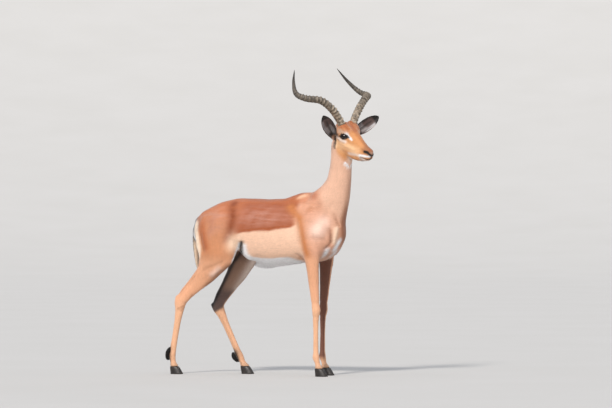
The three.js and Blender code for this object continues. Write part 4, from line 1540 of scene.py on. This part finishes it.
# ---- Hooves -------------------------------------------------------------------------------------
@dataclass
class Claw:
    """One claw of a foot: flat on the floor, pointed at the toe and met by the hair at its top."""

    node: str
    leg: str
    segments: int = 40
    levels: tuple = (  # share of the height and scale of the ring there
        *((0, 0.95), (0.03, 1), (0.15, 1), (0.3, 1), (0.45, 1)),
        *((0.6, 1), (0.75, 1), (0.9, 0.99), (1, 0.94)),
    )

    def build(self, finish: bpy.types.Material) -> bpy.types.Object:
        """Makes the claw inside the box of its CAD node."""
        low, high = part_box(self.node)
        ankle = merged_copy((self.leg,))
        floor = min(vert.co.z for vert in ankle.verts)
        base = np.array([vert.co for vert in ankle.verts if vert.co.z < floor + 0.003])
        ankle.free()
        base_low, base_high = base.min(0), base.max(0)
        middle = (base_low[1] + base_high[1]) / 2
        outward = 1 if (low.y + high.y) / 2 > middle else -1
        reach = (base_high[1] - base_low[1]) / 4
        sole = np.array([low.x + 0.0015, high.x, (low.y + high.y) / 2, (high.y - low.y) / 2])
        crown = np.array([base_low[0] - 0.001, base_high[0] + 0.0005, middle + outward * reach, reach])
        shape = bmesh.new()
        tall = high.z - low.z
        rings = []
        for share, scale in self.levels:
            ring = circle(shape, self.segments, 1.0, Matrix())
            back, front, centre, width = sole + (crown - sole) * share**1.15
            for vert in ring:
                u, v = vert.co.x, vert.co.y * outward
                toe = 1 - (0.55 - 0.3 * share) * max(u, 0) ** 2.2 - 0.12 * max(-u, 0) ** 3
                across = math.copysign(abs(v) ** (0.8 if v > 0 else 0.6), v)
                inner = 0.86 if v < 0 else 1.0
                groove = 1 + 0.012 * math.sin(share * 54) * (share < 0.8)
                x = (front + back) / 2 + u * (front - back) / 2 * scale
                y = centre + outward * across * inner * toe * width * scale * 0.97 * groove
                vert.co = Vector((x, y, low.z + tall * share))
            rings.append(ring)
        bridge_rings(shape, rings)
        piece = new_piece(self.node.replace("hoof_", "claw_"), shape)
        dress(piece, finish, "hoof", self.node)
        return piece


# ---- Coat ---------------------------------------------------------------------------------------
@dataclass(frozen=True)
class Lock:
    """The shape of one kind of tuft, in millimetres."""

    length: float
    width: float
    thick: float
    lift: float
    tip: float
    spread: float = 0.25


class Field:
    """The skin as something that tufts can be rooted on."""

    def __init__(self, piece: bpy.types.Object) -> None:
        """Reads the skin's triangles, unwrap and a search tree."""
        mesh = piece.data
        mesh.calc_loop_triangles()
        count = len(mesh.loop_triangles)
        self.corners = np.empty((count, 3), int)
        mesh.loop_triangles.foreach_get("vertices", self.corners.ravel())
        loops = np.empty((count, 3), int)
        mesh.loop_triangles.foreach_get("loops", loops.ravel())
        places = np.empty((len(mesh.loops), 2))
        mesh.uv_layers[BAKE_MAP].data.foreach_get("uv", places.ravel())
        self.unwrap = places[loops]
        self.points = Shell(piece).points
        tri = self.points[self.corners]
        cross = np.cross(tri[:, 1] - tri[:, 0], tri[:, 2] - tri[:, 0])
        self.area = np.linalg.norm(cross, axis=1) / 2
        self.normals = cross / np.maximum(2 * self.area, 1e-12)[:, None]
        self.centres = tri.mean(1)
        self.tree = BVHTree.FromPolygons(self.points.tolist(), self.corners.tolist())

    def roots(self, per_square_metre: Points, seed: int) -> tuple:
        """Scatters roots evenly.

        Args:
            per_square_metre: The wanted density at each triangle.
            seed: Of the scatter.

        Returns:
            Root points, the triangle of each, and its place on the unwrap.
        """
        rng = np.random.default_rng(seed)
        want = np.cumsum(self.area * per_square_metre)
        count = int(want[-1])
        marks = (np.arange(count) + rng.uniform(0, 1, count)) * want[-1] / max(count, 1)
        chosen = np.searchsorted(want, marks).clip(0, len(want) - 1)
        a, b = rng.uniform(0, 1, (2, count))
        fold = a + b > 1
        a, b = np.where(fold, 1 - a, a), np.where(fold, 1 - b, b)
        share = np.stack([1 - a - b, a, b], 1)[:, :, None]
        points = (self.points[self.corners[chosen]] * share).sum(1)
        return points, chosen, (self.unwrap[chosen] * share).sum(1)

    def walk(self, points: Points, ways: Points, steps: Points) -> tuple:
        """Steps from points along the skin and returns the new points and their normals."""
        goals = points + ways * steps[:, None]
        found, normals = np.empty_like(goals), np.empty_like(goals)
        nearest = self.tree.find_nearest
        for i, goal in enumerate(goals):
            spot, normal, _, _ = nearest(goal)
            found[i], normals[i] = spot, normal
        return found, normals


def flattened(ways: Points, normals: Points) -> Points:
    """Directions with their part along the normals taken out, at unit length."""
    flat = ways - (ways * normals).sum(1)[:, None] * normals
    return flat / np.maximum(np.linalg.norm(flat, axis=1), 1e-9)[:, None]


class Coat:
    """Grows tufts on the skin and joins them in pieces."""

    girths = (0.75, 1.0, 0.0)  # of a tuft at its root, its middle and its tip
    blends = (0.0, 0.5, 1.0)  # from the colour at the root to that at the tip
    lights = (0.94, 1.0, 1.05)
    root_depth = 0.6
    broadening = 1.15
    sideways, along = 0.16, 0.08  # how far a tuft's shading turns to its side and its tip
    tone_spread = 0.055
    patch = 0.003

    def __init__(self, skin: bpy.types.Object) -> None:
        """Prepares the skin."""
        self.field = Field(skin)
        self.template = self.tuft_template()

    @staticmethod
    def tuft_template() -> tuple:
        """One closed tuft of unit size: a three-sided blade made from a cone, as points and faces."""
        shape = bmesh.new()
        bmesh.ops.create_cone(shape, cap_ends=True, segments=3, radius1=1.0, radius2=0.0, depth=1.0)
        parts = shape.verts[:] + shape.edges[:] + shape.faces[:]
        bmesh.ops.bisect_plane(shape, geom=parts, plane_co=(0, 0, 0.0), plane_no=(0, 0, 1))
        bmesh.ops.triangulate(shape, faces=shape.faces)
        bmesh.ops.recalc_face_normals(shape, faces=shape.faces)
        shape.verts.ensure_lookup_table()
        spots = np.array([vert.co for vert in shape.verts])
        faces = np.array([[vert.index for vert in face.verts] for face in shape.faces])
        shape.free()
        return spots, faces

    def grow(
        self, name: str, density: Points, lock: Lock, scale: Points | None, seed: int
    ) -> bpy.types.Object:
        """Grows one piece of coat.

        Args:
            name: The piece's name.
            density: Tufts per square metre for each triangle of the skin.
            lock: The tufts' shape.
            scale: A factor on the tufts' length for each triangle, or None.
            seed: Of the scatter.

        Returns:
            The piece.
        """
        rng = np.random.default_rng(seed)
        roots, chosen, places = self.field.roots(density, seed)
        count = len(roots)
        normals = self.field.normals[chosen]
        stray = rng.normal(0, lock.spread, (count, 3))
        ways = flattened(lie_of_coat(roots) + stray, normals)
        size = rng.uniform(0.7, 1.25, count) * (1 if scale is None else scale[chosen])
        length = lock.length * size * MM
        middles, middle_normals = self.field.walk(roots, ways, length * 0.5)
        onward = flattened(ways, middle_normals)
        tips, tip_normals = self.field.walk(middles, onward, length * 0.5)
        thick = lock.thick * MM * rng.uniform(0.8, 1.2, count) * np.sqrt(size)
        width = lock.width * MM * rng.uniform(0.75, 1.2, count) * np.sqrt(size)
        lift = lock.lift * MM * size
        tip_lift = lock.tip * MM * size * rng.uniform(0.3, 1.5, count)
        line = (
            roots - normals * (self.root_depth * MM),
            middles + middle_normals * lift[:, None],
            tips + tip_normals * tip_lift[:, None],
        )
        spots, faces = self.template
        station = np.where(spots[:, 2] < -0.25, 0, np.where(spots[:, 2] > 0.25, 2, 1))
        girth = np.hypot(spots[:, 0], spots[:, 1])
        angle = np.arctan2(spots[:, 1], spots[:, 0])
        verts = np.empty((count, len(spots), 3))
        across = np.cross(ways, normals)
        across /= np.maximum(np.linalg.norm(across, axis=1), 1e-9)[:, None]
        for i, (level, a) in enumerate(zip(station, angle)):
            side, rise = self.girths[level] * math.sin(a), self.girths[level] * math.cos(a)
            verts[:, i] = line[level] + across * (width * 0.5 * side)[:, None] * self.broadening
            verts[:, i] += normals * (thick * 0.5 * rise)[:, None]
        leaning = np.stack([across * (1.1 * g * math.sin(a)) for g, a in zip(girth, angle)], 1)
        upward = np.stack([(normals, middle_normals, tip_normals)[level] for level in station], 1)
        shading = upward + self.sideways * leaning + self.along * ways[:, None]
        tufts = self.joined(name, verts, faces, places, spots, shading)
        base = Markings(roots, normals).run()
        end = Markings(tips, tip_normals).run()
        tone = rng.normal(1.0, self.tone_spread, (count, 1))
        shades = np.empty((count, len(spots), 3))
        for i, level in enumerate(station):
            share = self.blends[level]
            shades[:, i] = (base * (1 - share) + end * share) * tone * self.lights[level]
        paint(tufts, COLOUR_LAYER, shades.reshape(-1, 3))
        paint(tufts, LIE_LAYER, np.repeat(ways**2, len(spots), axis=0))
        return tufts

    def joined(
        self, name: str, verts: Points, faces: Points, places: Points, spots: Points, normals: Points
    ) -> bpy.types.Object:
        """Joins copies of the template into one mesh.

        Args:
            name: The piece's name.
            verts: The points of every tuft, by tuft and by the template's own order.
            faces: The template's triangles.
            places: Each root on the skin's unwrap, the middle of the tuft's bake patch.
            spots: The template's points.
            normals: The way each point's shading faces, of any length.

        Returns:
            The piece.
        """
        count, per = verts.shape[:2]
        all_faces = (faces[None] + (np.arange(count) * per)[:, None, None]).reshape(-1, 3)
        mesh = bpy.data.meshes.new(name)
        mesh.vertices.add(count * per)
        mesh.vertices.foreach_set("co", verts.reshape(-1))
        mesh.loops.add(all_faces.size)
        mesh.loops.foreach_set("vertex_index", all_faces.reshape(-1).astype(np.int32))
        mesh.polygons.add(len(all_faces))
        mesh.polygons.foreach_set("loop_start", np.arange(0, all_faces.size, 3, dtype=np.int32))
        small = np.stack([spots[:, 2], spots[:, 0] * 0.4 + spots[:, 1] * 0.15], 1)
        small = small / np.abs(small).max() * self.patch / 2
        uv = places[:, None, :] + small[None]
        layer = mesh.uv_layers.new(name=BAKE_MAP)
        layer.data.foreach_set("uv", uv.reshape(-1, 2)[all_faces.reshape(-1)].reshape(-1))
        mesh.update(calc_edges=True)
        mesh.shade_smooth()
        facing = normals.reshape(-1, 3)
        facing = facing / np.maximum(np.linalg.norm(facing, axis=1), 1e-9)[:, None]
        mesh.normals_split_custom_set_from_vertices(facing.tolist())
        return placed(name, mesh)


@dataclass
class CoatPlan:
    """Which tufts grow where."""

    coat: Coat
    hair: bpy.types.Material
    back_line: float = 730
    belly_line: float = 600
    foot_line: float = 40
    length: Points | None = None

    def masks(self) -> dict:
        """Soft regions of the skin, one value for each triangle."""
        centres = self.coat.field.centres
        body, skull = PLACE.body(centres), PLACE.head(centres)
        x, y, z = body.T
        ear = ear_share(centres)
        head = head_share(centres) * (1 - ear)
        around = EyeOpening.measure(mirrored(skull) - (0, EYE_OUT, EYE_ABOVE))
        clear = 1 - ease(around, 1.5, 1.3) * (np.abs(skull[:, 1]) > 30)
        nose = ease(skull[:, 0], 171, 160)
        rest = (1 - head) * (1 - ear)
        neck = rest * ease(z, 830, 890) * ease(x, 230, 290)
        legs = rest * ease(z, 500, 440)
        trunk = rest * (1 - ease(z, 830, 890) * ease(x, 230, 290)) * (1 - ease(z, 500, 440))
        hind, haired = x < 40, z > self.foot_line
        back = z > self.back_line
        sides = ~back & (z > self.belly_line)
        fold, bare = mirrored(body), mirrored(skull)
        spike = course(bare, ((-58, 45, 8), (-40, 48, -33), (-24, 46, -70)), 8)
        crown = blob(bare, (-42, 24, 52), (18, 16, 16))
        breast = blob(fold, (352, 34, 600), (40, 34, 40))
        groin = course(fold, ((-92, 86, 640), (-112, 76, 600), (-140, 74, 548)), 9) * (z < 650)
        tail = ease(x, -366, -374) * ease(np.abs(y), 30, 24) * ease(z, 740, 690)
        gland = sum(blob(body, tuple(centre), tuple(half * 1.3)) for centre, half in glands())
        coronet = ease(z, 56, 46)
        fringe = ease(x, -300, -260) * ease(x, 230, 200) * ease(z, 600, 580) * 0.5
        extra = 0.2 * spike + 0.2 * crown + 0.2 * breast + 0.9 * tail + 0.5 * gland
        self.length = np.clip(0.6 + extra - 0.25 * coronet, 0.3, 1.6)
        long = np.clip(0.5 * spike + crown + breast + 1.2 * groin + tail + gland + coronet + fringe, 0, 1)
        return {
            "long": long * (1 - ear) * clear,
            "back_rear": trunk * back * hind,
            "back_front": trunk * back * ~hind,
            "sides_rear": trunk * sides * hind,
            "sides_front": trunk * sides * ~hind,
            "under": trunk * (z <= self.belly_line),
            "neck": neck,
            "forelegs": legs * haired * ~hind,
            "hind_legs": legs * haired * hind,
            "head": head * clear * nose,
            "ears": ear,
        }

    def grow(self, thin: float) -> None:
        """Grows every piece of coat, with a factor on the number of its tufts."""
        masks = self.masks()
        body_lock = Lock(16, 2.3, 0.22, 0.24, 0.06)
        limb_lock = Lock(8, 1.5, 0.13, 0.1, 0.0)
        plans = (
            ("back_rear", 82000, body_lock),
            ("back_front", 82000, body_lock),
            ("sides_rear", 82000, body_lock),
            ("sides_front", 82000, body_lock),
            ("under", 70000, Lock(16, 2.3, 0.35, 0.4, 0.4)),
            ("neck", 90000, Lock(14, 2.1, 0.22, 0.22, 0.04)),
            ("forelegs", 110000, limb_lock),
            ("hind_legs", 110000, limb_lock),
            ("head", 190000, Lock(6.5, 1.2, 0.16, 0.15, 0.04)),
            ("ears", 180000, Lock(6, 1.1, 0.2, 0.2, 0.1)),
            ("long", 140000, Lock(20, 2.0, 0.6, 1.0, 1.9, spread=0.35)),
        )
        for seed, (name, density, lock) in enumerate(plans, 11):
            scale = self.length if name == "long" else None
            piece = self.coat.grow(f"coat_{name}", masks[name] * density * thin, lock, scale, seed)
            dress(piece, self.hair, "coat")
            log.info("%s: %d triangles", piece.name, len(piece.data.polygons))


# ---- Gland tufts --------------------------------------------------------------------------------
@dataclass
class GlandTuft:
    """The black cushion of hair over the gland behind a hind fetlock."""

    side: str
    density: float = 900000
    lock: Lock = Lock(15, 1.6, 0.5, 1.2, 3.2, spread=0.4)
    seed: int = 40
    coarse: float = 0.0016

    def build(self, finish: bpy.types.Material, thin: float) -> None:
        """Makes the cushion and the hair that stands out of it.

        Args:
            finish: Of both.
            thin: A factor on the number of hairs.
        """
        core = self.core()
        unwrap(core)
        dress(core, finish, "black_hair", f"gland_tuft_{self.side}")
        coat = Coat(core)
        density = np.full(len(coat.field.area), self.density * thin)
        hair = coat.grow(f"gland_hair_{self.side}", density, self.lock, None, self.seed)
        dress(hair, finish, "black_hair")

    def core(self) -> bpy.types.Object:
        """The cushion itself, in the CAD solid's place."""
        shape = merged_copy((f"gland_tuft_{self.side}",))
        floor = min(vert.co.z for vert in shape.verts)
        for vert in shape.verts:
            vert.co.z = floor + GLAND_SHARES[self.side] * (vert.co.z - floor)
        piece = new_piece(f"gland_core_{self.side}", shape)
        applied(piece, "REMESH", mode="VOXEL", voxel_size=self.coarse)
        skin = Shell(piece)
        skin.relax(np.full(len(skin.points), 0.003), self.coarse, 20)
        normals = skin.normals()
        skin.points += normals * (0.001 + 0.003 * np.abs(normals[:, 1:2]))
        skin.store()
        paint(piece, COLOUR_LAYER, np.tile(linear(Hue.BLACK.value), (len(skin.points), 1)))
        paint(piece, LIE_LAYER, lie_of_coat(skin.points) ** 2)
        piece.data.shade_smooth()
        return piece


# ---- Studio -------------------------------------------------------------------------------------
@dataclass
class Studio:
    """A pale floor, soft lights and the camera, in metres and degrees."""

    azimuth: float = 24.0
    aim: tuple = (0.129, 0.0823, 0.836)
    distance: float = 20.0
    lens: float = 240.6
    flat: float = 24
    bend: float = 60
    rise: float = 22
    rings: int = 24
    sun: tuple = (1.0, 0.96, 0.91)
    sun_energy: float = 2.55
    sun_width: float = 8
    sun_height: float = 39
    sun_turn: float = 2
    sky: tuple = (0.79, 0.84, 0.93, 1)
    sky_strength: float = 0.85

    def camera(self) -> None:
        """Sets the camera level, far off on the animal's right."""
        turn = math.radians(self.azimuth)
        data = bpy.data.cameras.new("camera")
        data.lens, data.sensor_width, data.clip_end = self.lens, 36.0, 100.0
        camera = placed("camera", data)
        away = Vector((math.sin(turn), -math.cos(turn), 0))
        camera.location = Vector(self.aim) + away * self.distance
        camera.rotation_euler = (math.pi / 2, 0, turn)
        bpy.context.scene.camera = camera

    def floor(self) -> None:
        """Lays a wide pale floor that rises gently far off on every side, so that no horizon shows."""
        shape = bmesh.new()
        rings = []
        for i in range(self.rings + 1):
            turn = i / self.rings * math.radians(self.rise)
            out, up = self.flat + self.bend * math.sin(turn), self.bend * (1 - math.cos(turn))
            rings.append(circle(shape, 128, out, Matrix.Translation((0, 0, up))))
        bridge_rings(shape, rings, cap=False)
        shape.faces.new(rings[0])
        bmesh.ops.recalc_face_normals(shape, faces=shape.faces)
        bmesh.ops.reverse_faces(shape, faces=shape.faces)
        floor = new_piece("floor", shape)
        material, sheet, shader = Finish("pale_floor").start()
        cloud = sheet.noise(sheet.add("TexCoord").outputs["Object"], 1.2, 3.0)
        sheet.feed(shader, Base_Color=sheet.mix(cloud, colour4(0xC4C1BC), colour4(0xCAC7C3)))
        shader.inputs["Roughness"].default_value = 0.95
        shader.inputs["Specular IOR Level"].default_value = 0.1
        floor.data.materials.append(material)

    def build(self) -> None:
        """Sets everything up."""
        self.camera()
        self.floor()
        key = bpy.data.lights.new("key", "SUN")
        key.energy, key.angle, key.color = self.sun_energy, math.radians(self.sun_width), self.sun
        tilt, turn = math.radians(90 - self.sun_height), math.radians(self.sun_turn)
        placed("key", key).rotation_euler = (tilt, 0, turn)
        world = bpy.data.worlds.new("studio")
        bpy.context.scene.world = world
        world.use_nodes = True
        ambient = world.node_tree.nodes["Background"]
        ambient.inputs[0].default_value = self.sky
        ambient.inputs[1].default_value = self.sky_strength
        bpy.context.scene.view_settings.view_transform = "Standard"


def main() -> None:
    """Builds the animal and the studio in order."""
    logging.basicConfig(level=logging.INFO, format="%(relativeCreated)d %(name)s %(message)s")
    Studio().build()
    grain, wear = hair_grain_group(), fine_wear_group()
    hair = HairFinish("short_coat", grain).make()
    skin_hair = HairFinish("coat_ground", grain, depth=0.0009, contrast=0.3).make()
    black_hair = HairFinish("black_coat", grain, roughness=0.7, sheen=0.2).make()
    horn = KeratinFinish("ringed_horn", wear, 0x574A3C, 0xDDC8AE, 0.5, 70.0, "tone").make()
    hoof = KeratinFinish("dark_hoof", wear, 0x14110F, 0x3A312B, 0.36, 90.0).make()
    eye = EyeFinish("dark_eye").make()
    bare = BareSkinFinish("bare_rim").make()

    skin = Skin().build()
    finish_skin(skin)
    dress(skin, skin_hair, "coat", *FLESH_NODES, *EAR_NODES)
    log.info("skin: %d triangles", len(skin.data.polygons))
    for side in SIDES.values():
        Horn(side).build(horn)
        Eye(side).ball(eye)
        Eye(side).rim(bare)
    thin = 1.0
    for name in SIDES:
        GlandTuft(name).build(black_hair, thin)
    for leg in LEG_NODES:
        for name in SIDES:
            Claw(f"hoof_{leg}_{name}_claw", leg).build(hoof)
    log.info("horns, eyes, gland tufts and claws done")
    CoatPlan(Coat(skin), hair).grow(thin)


if __name__ == "__main__":
    main()
